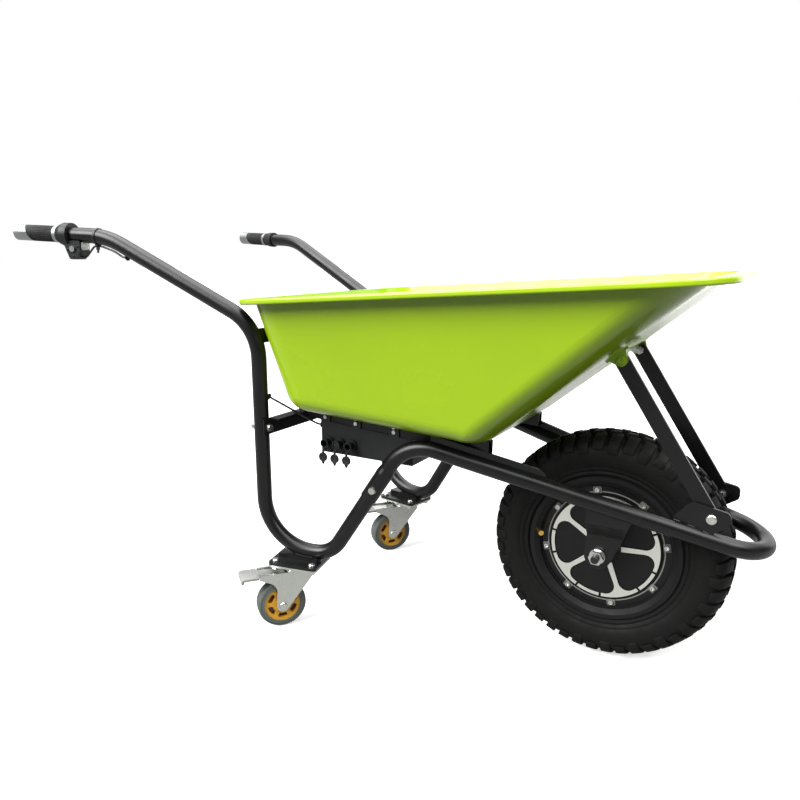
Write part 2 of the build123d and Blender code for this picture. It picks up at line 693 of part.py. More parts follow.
with BuildPart() as stiffener:
    rear_at = -STIFFENER_REAR_BACK
    front_at = -STIFFENER_FRONT_BACK
    with BuildSketch(right_side.offset(-STIFFENER_T / 2 - 3)):
        with BuildLine():
            Polyline(
                (rear_at, front_line_z - run_fall * rear_at + 4),
                (front_at, front_line_z - run_fall * front_at + 4),
                (front_at, front_line_z - run_fall * front_at + TUBE_OD / 2 + STIFFENER_RISE / 2),
                (front_at - 14, front_line_z - run_fall * (front_at - 14) + TUBE_OD / 2 + STIFFENER_RISE),
                (rear_at, front_line_z - run_fall * rear_at + TUBE_OD / 2 + STIFFENER_RISE),
                close=True,
            )
        make_face()
    extrude(amount=STIFFENER_T)
    add(front_envelope, mode=Mode.SUBTRACT)
with BuildPart() as frame_stiffeners:
    add(both_sides(stiffener.part))

screw_downs = (RAIL_H * 0.36, RAIL_H * 0.72)
floor_up = floor_plane.z_dir
rail_rear = rel_x(-RAIL_REAR_BACK)
rail_front = rel_x(-RAIL_FRONT_BACK)
rail_notch = leg_front + CROSS_FLANGE + 1
tub_bolt_spots = [rel_x(-500), rel_x(-300)]
with BuildPart() as rail:
    with BuildSketch(upright(-RAIL_HALF + RAIL_W / 2)):
        with BuildLine():
            Polyline(
                (rail_rear, floor_z(rail_rear)),
                (rail_front, floor_z(rail_front)),
                (rail_front, floor_z(rail_front) - RAIL_H),
                (rail_notch, floor_z(rail_notch) - RAIL_H),
                (rail_notch, cross_top),
                (rail_rear, cross_top),
                close=True,
            )
        make_face()
    extrude(amount=RAIL_W)
    with BuildSketch(upright(-RAIL_HALF + RAIL_W / 2 - RAIL_WALL)):
        with BuildLine():
            Polyline(
                (rail_notch + RAIL_WALL, floor_z(rail_notch) - RAIL_WALL),
                (rail_front, floor_z(rail_front) - RAIL_WALL),
                (rail_front, floor_z(rail_front) - RAIL_H + RAIL_WALL),
                (rail_notch + RAIL_WALL, floor_z(rail_notch) - RAIL_H + RAIL_WALL),
                close=True,
            )
        make_face()
    extrude(amount=RAIL_W - 2 * RAIL_WALL, mode=Mode.SUBTRACT)
    add(stiffener.part, mode=Mode.SUBTRACT)
    add(front_envelope, mode=Mode.SUBTRACT)
    for x in tub_bolt_spots:
        spot = Vector(x, -RAIL_HALF, floor_z(x))
        add(rod(spot + floor_up, spot - floor_up * RAIL_H / 2, bolt_hole), mode=Mode.SUBTRACT)
    for back in EAR_BACKS:
        for down in screw_downs:
            spot = Vector(rel_x(-back), -RAIL_HALF - RAIL_W / 2 - 2, floor_z(rel_x(-back)) - down)
            add(rod(spot, spot + Vector(0, RAIL_WALL + 5, 0), BOX_SCREW_R + 0.1), mode=Mode.SUBTRACT)
with BuildPart() as tub_rails:
    add(both_sides(rail.part))

with BuildPart() as tub_lip:
    with BuildSketch(rim_plane):
        add(outline(Plane.XY, *rim_sizes, FLANGE_W + LIP_W / 2))
        add(outline(Plane.XY, *rim_sizes, FLANGE_W - LIP_W / 2), mode=Mode.SUBTRACT)
    extrude(amount=-LIP_H)
    level = tub_lip.edges().filter_by(lambda e: abs(e.tangent_at(0.5).dot(rim_plane.z_dir)) < 0.1)
    fillet(level, LIP_W * 0.45)

with BuildPart() as tub:
    add(tub_out)
    add(outline(rim_plane, *rim_sizes, FLANGE_W))
    extrude(amount=-SHEET)
    add(tub_lip.part)
    add(tub_in, mode=Mode.SUBTRACT)
    rear_hole = rod(rear_bolt_at - rear_wall_out * 10, rear_bolt_at + rear_wall_out * 5, bolt_hole)
    add(both_sides(rear_hole), mode=Mode.SUBTRACT)
    wall_hole = rod(wall_seat - front_wall_out * 10, wall_seat + front_wall_out * 5, bolt_hole)
    add(both_sides(wall_hole), mode=Mode.SUBTRACT)

# Studs welded under the floor hold the rails, and bolts through the rear wall hold the brackets
with BuildPart() as tub_bolts:
    for x in tub_bolt_spots:
        seat = Vector(x, -RAIL_HALF, floor_z(x))
        stud = rod(seat, seat - floor_up * (RAIL_WALL + NUT_H + 2), BOLT_R)
        add(both_sides(stud))
        add(both_sides(hex_prism(seat - floor_up * RAIL_WALL, floor_up * -1, NUT_R, NUT_H)))
    rear_grip = SHEET + HEAD_CLEAR + REAR_BRACKET_T
    seat = rear_bolt_at - rear_wall_out * (SHEET + HEAD_CLEAR)
    add(both_sides(domed_bolt(seat, rear_wall_out, rear_grip)))

cross_seat = leg_bolt_at + Vector(TUBE_OD / 2 + COPE + CROSS_T, 0, 0)
with BuildPart() as cross_bolt:
    add(coped_bolt(leg_bolt_at, (1, 0, 0), (0, 0, 1), TUBE_OD / 2))
    with BuildSketch(Plane(leg_bolt_at + Vector(TUBE_OD / 2 - 4, 0, 0), z_dir=(1, 0, 0))):
        Circle(HEAD_R + 1)
    extrude(amount=HEAD_H + 4, mode=Mode.SUBTRACT)
    with BuildSketch(Plane(cross_seat, z_dir=(1, 0, 0))):
        Circle(HEAD_R)
    extrude(amount=HEAD_H, taper=12)
    add(rod(leg_bolt_at, cross_seat + Vector(1, 0, 0), BOLT_R))
with BuildPart() as frame_bolts:
    add(both_sides(coped_bolt(sleeve_bolt_at, side_out, sleeve_run, socket_out)))
    add(both_sides(cross_bolt.part))

# Dropouts: plates welded to the tubes and set in towards the wheel at the axle
drop_top_y = side_offset - 5
with BuildPart() as dropout:
    drop_section = Plane(origin=(wheel_x - DROPOUT_R, 0, 0), x_dir=(0, 1, 0), z_dir=(1, 0, 0))
    with BuildSketch(drop_section):
        with BuildLine():
            Polyline(
                (-DROPOUT_IN, TYRE_R - DROPOUT_R),
                (-DROPOUT_IN, TYRE_R + DROPOUT_JOG_LOW),
                (-drop_top_y + DROPOUT_T / 2, TYRE_R + DROPOUT_JOG_TOP),
                (-drop_top_y + DROPOUT_T / 2, tube_axle_z + TUBE_OD / 2),
                (-drop_top_y - DROPOUT_T / 2, tube_axle_z + TUBE_OD / 2),
                (-drop_top_y - DROPOUT_T / 2, TYRE_R + DROPOUT_JOG_TOP),
                (-DROPOUT_IN - DROPOUT_T, TYRE_R + DROPOUT_JOG_LOW),
                (-DROPOUT_IN - DROPOUT_T, TYRE_R - DROPOUT_R),
                close=True,
            )
        make_face()
    extrude(amount=DROPOUT_R + DROPOUT_TOP_AHEAD)
    with BuildSketch(upright(-DROPOUT_IN + 5)):
        with BuildLine():
            Line(
                (wheel_x - DROPOUT_TOP_BACK, tube_axle_z + run_fall_x * DROPOUT_TOP_BACK),
                (wheel_x + DROPOUT_TOP_AHEAD, tube_axle_z - run_fall_x * DROPOUT_TOP_AHEAD),
            )
        with Locations((wheel_x, TYRE_R)):
            Circle(DROPOUT_R)
        make_hull()
        with Locations((wheel_x, TYRE_R)):
            Circle(AXLE_END_R + SLIP, mode=Mode.SUBTRACT)
    extrude(amount=80, mode=Mode.INTERSECT)
    add(front_envelope, mode=Mode.SUBTRACT)
with BuildPart() as dropout_plates:
    add(both_sides(dropout.part))

# Battery box: hung from the rails by ears that are part of its side walls
box_rear = rel_x(-BOX_REAR_BACK)
box_front = rel_x(-BOX_FRONT_BACK)


def box_top(x):
    """Height of the box's edge under the lid."""
    return floor_z(x) - RAIL_H - LID_T


with BuildPart() as battery_box:
    with BuildSketch(upright(BOX_HALF)):
        with BuildLine():
            Polyline(
                (box_rear, BOX_FLOOR_Z),
                (box_front, BOX_FLOOR_Z),
                (box_front, box_top(box_front)),
                (box_rear, box_top(box_rear)),
                close=True,
            )
        make_face()
    extrude(amount=2 * BOX_HALF)
    fillet(battery_box.edges().group_by(Axis.Z)[0], 5)
    with BuildSketch(upright(BOX_HALF - BOX_WALL)):
        with BuildLine():
            Polyline(
                (box_rear + BOX_WALL, BOX_FLOOR_Z + BOX_WALL),
                (box_front - BOX_WALL, BOX_FLOOR_Z + BOX_WALL),
                (box_front - BOX_WALL, box_top(box_front) + 10),
                (box_rear + BOX_WALL, box_top(box_rear) + 10),
                close=True,
            )
        make_face()
    extrude(amount=2 * (BOX_HALF - BOX_WALL), mode=Mode.SUBTRACT)
    for back in EAR_BACKS:
        x = rel_x(-back)
        with BuildSketch(upright(-BOX_HALF + BOX_WALL)):
            with Locations((x, box_top(x) - 4)):
                Rectangle(EAR_W, RAIL_H - 1, align=(Align.CENTER, Align.MIN))
        ear = extrude(amount=BOX_WALL)
        mirror(ear, about=Plane.XZ)
        for down in screw_downs:
            spot = Vector(x, -BOX_HALF - 2, floor_z(x) - down)
            hole = rod(spot, spot + Vector(0, BOX_WALL + 4, 0), BOX_SCREW_R + 0.1)
            add(both_sides(hole), mode=Mode.SUBTRACT)
    add(rod(gland_face - Vector(2, 0, 0), gland_face + Vector(6, 0, 0), LEAD_R + SLIP), mode=Mode.SUBTRACT)

with BuildPart() as battery_box_lid:
    with BuildSketch(upright(BOX_HALF)):
        with BuildLine():
            Polyline(
                (box_rear, box_top(box_rear)),
                (box_front, box_top(box_front)),
                (box_front, box_top(box_front) + LID_T),
                (box_rear, box_top(box_rear) + LID_T),
                close=True,
            )
        make_face()
    extrude(amount=2 * BOX_HALF)
    for back in EAR_BACKS:
        x = rel_x(-back)
        with BuildSketch(upright(-BOX_HALF + BOX_WALL + SLIP)):
            with Locations((x, box_top(x) - 6)):
                Rectangle(EAR_W + 2 * SLIP, RAIL_H, align=(Align.CENTER, Align.MIN))
        notch = extrude(amount=BOX_WALL + 5, mode=Mode.SUBTRACT)
        mirror(notch, about=Plane.XZ, mode=Mode.SUBTRACT)

with BuildPart() as box_screws:
    for back in EAR_BACKS:
        x = rel_x(-back)
        for down in screw_downs:
            seat = Vector(x, -BOX_HALF, floor_z(x) - down)
            with BuildSketch(Plane(seat, z_dir=(0, -1, 0))):
                Circle(BOX_SCREW_R * 1.5)
            head = extrude(amount=2.2, taper=15)
            mirror(head, about=Plane.XZ)
            shank = rod(seat - Vector(0, 0.5, 0), seat + Vector(0, BOX_WALL + RAIL_WALL + 2, 0), BOX_SCREW_R)
            add(both_sides(shank))

pack_front = box_front - BOX_WALL - 3
with BuildPart() as battery_pack:
    with BuildSketch(Plane.XY.offset(BOX_FLOOR_Z + BOX_WALL)):
        with Locations((pack_front - PACK_L / 2, 0)):
            RectangleRounded(PACK_L, PACK_W, 6)
    extrude(amount=PACK_H)
with BuildPart() as motor_controller:
    with BuildSketch(Plane.XY.offset(BOX_FLOOR_Z + BOX_WALL)):
        with Locations((pack_front - PACK_L - 6 - CONTROLLER_L / 2, 0)):
            RectangleRounded(CONTROLLER_L, CONTROLLER_W, 4)
    extrude(amount=CONTROLLER_H)

# Panel sockets on the right face of the box, the middle one holding the push button
socket_face = -BOX_HALF - SOCKET_OUT
socket_bore = SOCKET_R - 2.2
cap_axis_y = socket_face - CAP_HINGE_OUT - 0.5
cap_axis_z = SOCKET_Z - CAP_DROP + 1
strap_t = 1.6
with BuildPart() as panel_sockets:
    for back in SOCKET_BACKS:
        mouth = Vector(rel_x(-back), -BOX_HALF, SOCKET_Z)
        with BuildSketch(Plane(mouth, z_dir=(0, -1, 0))):
            Circle(SOCKET_BEZEL_R)
        extrude(amount=SOCKET_BEZEL_T, taper=10)
        with BuildSketch(Plane(mouth, z_dir=(0, -1, 0))):
            Circle(SOCKET_R)
        extrude(amount=SOCKET_OUT)
        with BuildSketch(upright(socket_face + 4)):
            with Locations((mouth.X, cap_axis_z - 1)):
                Rectangle(6, SOCKET_Z - cap_axis_z - SOCKET_R + 3, align=(Align.CENTER, Align.MIN))
        extrude(amount=4)
        with BuildSketch(upright(socket_face)):
            with Locations((mouth.X, cap_axis_z - 1)):
                Rectangle(6, 4, align=(Align.CENTER, Align.MIN))
        extrude(amount=CAP_HINGE_OUT + 0.5 - strap_t / 2 - 0.3)
        with BuildSketch(Plane((mouth.X, socket_face - 20, SOCKET_Z), z_dir=(0, 1, 0))):
            Circle(socket_bore)
        extrude(amount=20 + SOCKET_OUT - 5, mode=Mode.SUBTRACT)

button_in = socket_face + SOCKET_OUT - 5 - BUTTON_TRAVEL - 0.6
button_x = rel_x(-SOCKET_BACKS[1])
with BuildPart() as power_button:
    with BuildSketch(Plane((button_x, button_in, SOCKET_Z), z_dir=(0, -1, 0))):
        Circle(socket_bore - RUN)
    extrude(amount=4)
    with BuildSketch(Plane((button_x, button_in, SOCKET_Z), z_dir=(0, -1, 0))):
        Circle(BUTTON_R)
    extrude(amount=8)


def socket_cap(back):
    """Rubber cap hanging open on its strap below one socket."""
    x = rel_x(-back)
    low = cap_axis_z - CAP_DROP
    with BuildPart() as cap:
        with BuildSketch(upright(cap_axis_y + CAP_T / 2 - 0.5)):
            with Locations((x, low)):
                Circle(CAP_R)
            with Locations((x, low - CAP_R)):
                SlotCenterToCenter(CAP_TAB, 7, rotation=90)
        extrude(amount=CAP_T)
        with BuildSketch(upright(cap_axis_y + strap_t / 2)):
            with Locations((x, low)):
                Rectangle(5, CAP_DROP, align=(Align.CENTER, Align.MIN))
        extrude(amount=strap_t)
        with BuildSketch(Plane((x - 2.5, cap_axis_y, cap_axis_z), z_dir=(1, 0, 0))):
            Circle(strap_t / 2)
        extrude(amount=5)
    return cap.part


with BuildPart() as socket_cap_rear:
    add(socket_cap(SOCKET_BACKS[0]))
with BuildPart() as socket_cap_middle:
    add(socket_cap(SOCKET_BACKS[1]))
with BuildPart() as socket_cap_front:
    add(socket_cap(SOCKET_BACKS[2]))

# Drive wheel: tyre, rim, covers and the motor inside
rim_half = RIM_W / 2
seat_half = rim_half - RIM_FLANGE_T
flange_r = RIM_SEAT_R + RIM_FLANGE_H
shoulder_half = TYRE_W / 2 - 5
shoulder_r = TYRE_R - 14
with BuildPart() as shoulder_groove:
    with BuildSketch(wheel_section):
        with BuildLine():
            Polyline(
                (TYRE_W * 0.2, TYRE_R - TREAD_DEPTH - 1),
                (TYRE_W * 0.6, shoulder_r - TREAD_DEPTH - 4),
                (TYRE_W * 0.6, TYRE_R + 12),
                (TYRE_W * 0.2, TYRE_R + 12),
                close=True,
            )
        make_face()
    extrude(amount=TREAD_GROOVE / 2, both=True)
    mirror(about=Plane.XZ)
with BuildPart() as centre_groove:
    with BuildSketch(wheel_section):
        with Locations((0, TYRE_R - TREAD_DEPTH)):
            Rectangle(TYRE_W * 0.46, TREAD_DEPTH + 12, align=(Align.CENTER, Align.MIN))
    extrude(amount=TREAD_GROOVE * 0.4, both=True)

with BuildPart() as tyre:
    with BuildSketch(wheel_section):
        with BuildLine():
            base = Line((-seat_half + SLIP, RIM_SEAT_R + SLIP + 1), (-seat_half + SLIP, flange_r + 2))
            ThreePointArc(
                base @ 1,
                (-TYRE_W / 2, (flange_r + shoulder_r) / 2 + 4),
                (-shoulder_half, shoulder_r),
            )
            ThreePointArc((-shoulder_half, shoulder_r), (0, TYRE_R), (shoulder_half, shoulder_r))
            ThreePointArc(
                (shoulder_half, shoulder_r),
                (TYRE_W / 2, (flange_r + shoulder_r) / 2 + 4),
                (seat_half - SLIP, flange_r + 2),
            )
            Line((seat_half - SLIP, flange_r + 2), (seat_half - SLIP, RIM_SEAT_R + SLIP + 1))
            Line((seat_half - SLIP, RIM_SEAT_R + SLIP + 1), (seat_half - SLIP - 11, RIM_SEAT_R + SLIP + 1))
            Line((seat_half - SLIP - 11, RIM_SEAT_R + SLIP + 1), (seat_half - SLIP - 9, flange_r + 4))
            ThreePointArc(
                (seat_half - SLIP - 9, flange_r + 4),
                (TYRE_W / 2 - TYRE_WALL, (flange_r + shoulder_r) / 2 + 4),
                (shoulder_half - TYRE_WALL, shoulder_r - TYRE_WALL),
            )
            ThreePointArc(
                (shoulder_half - TYRE_WALL, shoulder_r - TYRE_WALL),
                (0, TYRE_R - TREAD_DEPTH - TYRE_WALL),
                (-shoulder_half + TYRE_WALL, shoulder_r - TYRE_WALL),
            )
            ThreePointArc(
                (-shoulder_half + TYRE_WALL, shoulder_r - TYRE_WALL),
                (-TYRE_W / 2 + TYRE_WALL, (flange_r + shoulder_r) / 2 + 4),
                (-seat_half + SLIP + 9, flange_r + 4),
            )
            Line((-seat_half + SLIP + 9, flange_r + 4), (-seat_half + SLIP + 11, RIM_SEAT_R + SLIP + 1))
            Line((-seat_half + SLIP + 11, RIM_SEAT_R + SLIP + 1), base @ 0)
        make_face()
    revolve(axis=wheel_axis)
    cuts = []
    for k in range(TREAD_PITCHES):
        turn = 360 / TREAD_PITCHES
        lean = 24 if k % 2 else -24
        cuts.append(shoulder_groove.part.rotate(wheel_axis, k * turn))
        slanted = centre_groove.part.rotate(Axis(wheel_centre, (0, 0, 1)), lean)
        cuts.append(slanted.rotate(wheel_axis, (k + 0.5) * turn))
    add(cuts, mode=Mode.SUBTRACT)

cover_in = HUB_INNER_W / 2
with BuildPart() as hub_rim:
    with BuildSketch(wheel_section):
        with BuildLine():
            half = [
                (rim_half, flange_r),
                (rim_half, flange_r - 8),
                (rim_half - 6, RIM_SEAT_R - 6),
                (cover_in + COVER_T + 3, RIM_SEAT_R - 6),
                (cover_in + COVER_T + 3, COVER_R + SLIP),
                (cover_in, COVER_R + SLIP),
                (cover_in, HUB_BORE_R),
            ]
            well = [
                (-seat_half, flange_r),
                (-seat_half, RIM_SEAT_R),
                (-seat_half + 13, RIM_SEAT_R - 1),
                (-seat_half + 19, RIM_SEAT_R - RIM_WELL_DEPTH),
            ]
            back = [(-y, r) for y, r in reversed(half)]
            Polyline(*half, *back, *well, *[(-y, r) for y, r in reversed(well)], close=True)
        make_face()
    revolve(axis=wheel_axis)
    with BuildSketch(wheel_side.offset(-cover_in - 5)):
        with PolarLocations(SCREW_CIRCLE_R, HUB_SCREWS, start_angle=90 - HUB_SCREW_FIRST):
            Circle(HUB_SCREW_R + 0.1)
    extrude(amount=2 * cover_in + 10, mode=Mode.SUBTRACT)

cover_out = cover_in + COVER_T
disc_out = cover_out + COVER_STEP
head_outer = COVER_DISC_R - 2
head_inner = head_outer - SPOKE_RING_W
with BuildSketch() as spoke_shape:
    with BuildLine():
        first = CenterArc((0, 0), head_outer, -SPOKE_HEAD_SPAN / 2, SPOKE_HEAD_SPAN)
        second = CenterArc((0, 0), head_inner, -SPOKE_HEAD_SPAN / 2, SPOKE_HEAD_SPAN)
        Line(first @ 0, second @ 0)
        Line(first @ 1, second @ 1)
    make_face()
    with BuildLine():
        Polyline(
            (SPOKE_ROOT_R, -SPOKE_ROOT_W / 2),
            (head_inner + 2, -SPOKE_W / 2),
            (head_inner + 2, SPOKE_W / 2),
            (SPOKE_ROOT_R, SPOKE_ROOT_W / 2),
            close=True,
        )
    make_face()
    inside = spoke_shape.vertices().filter_by_position(Axis.Y, -SPOKE_W, SPOKE_W)
    fillet(inside.filter_by_position(Axis.X, head_inner - 3, head_inner + 3), SPOKE_FILLET)
with BuildSketch() as arc_shape:
    with BuildLine():
        arc_span = 360 / SPOKE_COUNT - SPOKE_HEAD_SPAN - 2 * SPOKE_GAP_SPAN
        first = CenterArc((0, 0), head_outer, 180 / SPOKE_COUNT - arc_span / 2, arc_span)
        second = CenterArc((0, 0), head_inner + 0.5, 180 / SPOKE_COUNT - arc_span / 2, arc_span)
        Line(first @ 0, second @ 0)
        Line(first @ 1, second @ 1)
    make_face()
with BuildPart() as hub_cover_right:
    with BuildSketch(wheel_section):
        with BuildLine():
            Polyline(
                (-cover_in, BEARING_R - 4),
                (-cover_in, COVER_R),
                (-cover_out, COVER_R),
                (-cover_out, COVER_DISC_R + 4),
                (-cover_out + 1.5, COVER_DISC_R + 3.5),
                (-cover_out + 1.5, COVER_DISC_R + 1),
                (-disc_out, COVER_DISC_R),
                (-disc_out, BOSS_R + 4),
                (-disc_out - 3, BOSS_R),
                (-BOSS_OUT + 2, BOSS_R),
                (-BOSS_OUT, BOSS_R - 2),
                (-BOSS_OUT, SEAL_R),
                (-BOSS_OUT + 2, SEAL_R),
                (-BOSS_OUT + 2, BEARING_R + 0.01),
                (-BOSS_OUT + 2 + BEARING_W, BEARING_R + 0.01),
                (-BOSS_OUT + 2 + BEARING_W, BEARING_R - 4),
                close=True,
            )
        make_face()
    revolve(axis=wheel_axis)
    with BuildSketch(wheel_side.offset(cover_out)):
        with PolarLocations(SCREW_CIRCLE_R, HUB_SCREWS, start_angle=90 - HUB_SCREW_FIRST):
            RectangleRounded(COVER_R - COVER_DISC_R - 4, PAD_W, 2)
    extrude(amount=COVER_STEP)
    with BuildSketch(wheel_side.offset(disc_out)):
        for k in range(SPOKE_COUNT):
            with Locations(Location((0, 0, 0), (0, 0, 90 - SPOKE_FIRST - k * 360 / SPOKE_COUNT))):
                add(spoke_shape.sketch)
                add(arc_shape.sketch)
    extrude(amount=SPOKE_RAISE)
    with BuildSketch(wheel_side.offset(cover_in - 2)):
        with PolarLocations(SCREW_CIRCLE_R, HUB_SCREWS, start_angle=90 - HUB_SCREW_FIRST):
            Circle(HUB_SCREW_R + 0.1)
    extrude(amount=20, mode=Mode.SUBTRACT)
with BuildPart() as hub_cover_left:
    mirror(hub_cover_right.part, about=Plane.XZ)

pad_out = cover_out + COVER_STEP
with BuildPart() as hub_screws:
    with BuildSketch(wheel_side.offset(pad_out)):
        with PolarLocations(SCREW_CIRCLE_R, HUB_SCREWS, start_angle=90 - HUB_SCREW_FIRST):
            Circle(HUB_SCREW_HEAD_R)
    extrude(amount=HUB_SCREW_HEAD_H)
    with BuildSketch(wheel_side.offset(pad_out + HUB_SCREW_HEAD_H)):
        with PolarLocations(SCREW_CIRCLE_R, HUB_SCREWS, start_angle=90 - HUB_SCREW_FIRST):
            RegularPolygon(2.4, 6)
    extrude(amount=-2.2, mode=Mode.SUBTRACT)
    with BuildSketch(wheel_side.offset(pad_out + 0.5)):
        with PolarLocations(SCREW_CIRCLE_R, HUB_SCREWS, start_angle=90 - HUB_SCREW_FIRST):
            Circle(HUB_SCREW_R)
    extrude(amount=-COVER_T - COVER_STEP - 12)
    mirror(about=Plane.XZ)

magnet_in = HUB_BORE_R - MAGNET_T
with BuildPart() as magnet_ring:
    with BuildSketch(wheel_side.offset(-MAGNET_W / 2)):
        Circle(HUB_BORE_R - 0.01)
        Circle(magnet_in, mode=Mode.SUBTRACT)
    extrude(amount=MAGNET_W)

stator_r = magnet_in - AIR_GAP
with BuildPart() as motor_stator:
    with BuildSketch(wheel_side.offset(-STATOR_W / 2)):
        Circle(stator_r)
        Circle(AXLE_R + 0.01, mode=Mode.SUBTRACT)
        with PolarLocations(stator_r - STATOR_TOOTH_DEPTH / 2, STATOR_SLOTS):
            Rectangle(STATOR_TOOTH_DEPTH + 2, 12, mode=Mode.SUBTRACT)
    extrude(amount=STATOR_W)

bearing_out = BOSS_OUT - 2
with BuildPart() as hub_bearings:
    with BuildSketch(wheel_side.offset(bearing_out)):
        Circle(BEARING_R)
        Circle(AXLE_R + RUN, mode=Mode.SUBTRACT)
    extrude(amount=-BEARING_W)
    mirror(about=Plane.XZ)

nut_seat = DROPOUT_IN + DROPOUT_T + WASHER_T
axle_half = nut_seat + AXLE_NUT_H + AXLE_TIP
with BuildPart() as motor_axle:
    with BuildSketch(wheel_section):
        with BuildLine():
            Polyline(
                (-axle_half, 0),
                (-axle_half, AXLE_END_R - 1),
                (-axle_half + 1, AXLE_END_R),
                (-DROPOUT_IN, AXLE_END_R),
                (-DROPOUT_IN, AXLE_COLLAR_R),
                (-BOSS_OUT - 1, AXLE_COLLAR_R),
                (-BOSS_OUT - 1, AXLE_R),
                (0, AXLE_R),
                (0, 0),
                close=True,
            )
        make_face()
    revolve(axis=wheel_axis)
    mirror(about=Plane.XZ)

with BuildPart() as axle_nuts:
    with BuildSketch(wheel_side.offset(DROPOUT_IN + DROPOUT_T)):
        Circle(AXLE_WASHER_R)
        Circle(AXLE_END_R + 0.02, mode=Mode.SUBTRACT)
    extrude(amount=WASHER_T)
    with BuildSketch(wheel_side.offset(nut_seat)):
        RegularPolygon(AXLE_NUT_R, 6)
        Circle(AXLE_END_R + 0.02, mode=Mode.SUBTRACT)
    extrude(amount=AXLE_NUT_H)
    mirror(about=Plane.XZ)

valve_root_r = (flange_r - 8 + RIM_SEAT_R - 6) / 2
valve_up = 14
valve_root = wheel_centre + Vector(-sqrt(valve_root_r**2 - valve_up**2), -rim_half + 3, valve_up)
valve_aim = Vector(0.55, -0.83, 0).normalized()
with BuildPart() as valve_stem:
    add(rod(valve_root, valve_root + valve_aim * VALVE_L, VALVE_R))
    add(rod(valve_root + valve_aim * (VALVE_L - 9), valve_root + valve_aim * VALVE_L, VALVE_R + 1))
    add(hub_rim.part, mode=Mode.SUBTRACT)

# Casters: the plates follow the frame's side, the forks all trail the same way
swivel_right = on_side(-CASTER_BACK, 0)
swivel_left = Vector(swivel_right.X, -swivel_right.Y, 0)
trail_dir = Vector(cos(radians(CASTER_TURN)), sin(radians(CASTER_TURN)), 0)
plate_top = CASTER_HEIGHT
mount_plane = Plane(swivel_right, x_dir=right_side.x_dir, z_dir=(0, 0, 1))
with BuildPart() as mount_plate:
    with BuildSketch(mount_plane.offset(plate_top)):
        RectangleRounded(PLATE_L, PLATE_W, 8)
        with GridLocations(PLATE_HOLES_L, PLATE_HOLES_W, 2, 2):
            Circle(PLATE_BOLT_R + SLIP, mode=Mode.SUBTRACT)
    extrude(amount=MOUNT_PLATE_T)
    with BuildSketch(mount_plane.offset(plate_top + MOUNT_PLATE_T)):
        Rectangle(PLATE_L * 0.8, TUBE_OD * 0.8)
    extrude(amount=MOUNT_SADDLE + TUBE_OD * 0.2)
    add(rear_envelope, mode=Mode.SUBTRACT)
with BuildPart() as caster_mount_plates:
    add(both_sides(mount_plate.part))

race_low = plate_top - PLATE_T - RACE_H
crown_top = race_low - 0.4
crown_low = crown_top - CROWN_T
with BuildPart() as top_plate:
    with BuildSketch(mount_plane.offset(plate_top)):
        RectangleRounded(PLATE_L, PLATE_W, 8)
        with GridLocations(PLATE_HOLES_L, PLATE_HOLES_W, 2, 2):
            Circle(PLATE_BOLT_R + SLIP, mode=Mode.SUBTRACT)
    extrude(amount=-PLATE_T)
    with BuildSketch(mount_plane.offset(plate_top - PLATE_T)):
        Circle(RACE_R)
    extrude(amount=-RACE_H)
    with BuildSketch(mount_plane.offset(race_low + 1)):
        Circle(KINGPIN_R)
    extrude(amount=-CROWN_T - 9)
    with BuildSketch(mount_plane.offset(crown_low - 0.5)):
        RegularPolygon(KINGPIN_R * 1.7, 6)
    extrude(amount=-5)
with BuildPart() as caster_top_plates:
    add(both_sides(top_plate.part))

with BuildPart() as plate_bolts:
    for along in (-PLATE_HOLES_L / 2, PLATE_HOLES_L / 2):
        for across in (-PLATE_HOLES_W / 2, PLATE_HOLES_W / 2):
            seat = mount_plane.from_local_coords(Vector(along, across, plate_top + MOUNT_PLATE_T))
            add(domed_bolt(seat, (0, 0, -1), MOUNT_PLATE_T + PLATE_T, head_r=7, shank_r=PLATE_BOLT_R, tail=2))
with BuildPart() as caster_plate_bolts:
    add(both_sides(plate_bolts.part))

leg_in = FORK_GAP / 2
fork_heel = (CASTER_TRAIL - FORK_END_R * 0.9, CASTER_R - FORK_END_R * 0.43)
fork_tip = (FORK_REACH, crown_low - FORK_TIP)
fork_shelf = (FORK_REACH - 20, crown_low - 2 * FORK_TIP)
fork_throat = (CASTER_TRAIL + FORK_END_R + 1.5, crown_low - 3 * FORK_TIP)
fork_waist = (CASTER_TRAIL + FORK_END_R - 1.5, crown_low - 5 * FORK_TIP)
pedal_pin_z = crown_low - 8
pedal_z = pedal_pin_z + PEDAL_RAISE
pedal_half = PEDAL_W / 2


def caster_plane(swivel):
    """A caster's own axes: X along the trail, Y along the wheel's axle, Z up."""
    return Plane(swivel, x_dir=trail_dir, z_dir=(0, 0, 1))


def beside(swivel, across):
    """Plane of a fork leg: its own axes run along the trail and up."""
    own = caster_plane(swivel)
    return Plane(own.from_local_coords(Vector(0, across, 0)), x_dir=trail_dir, z_dir=own.y_dir * -1)


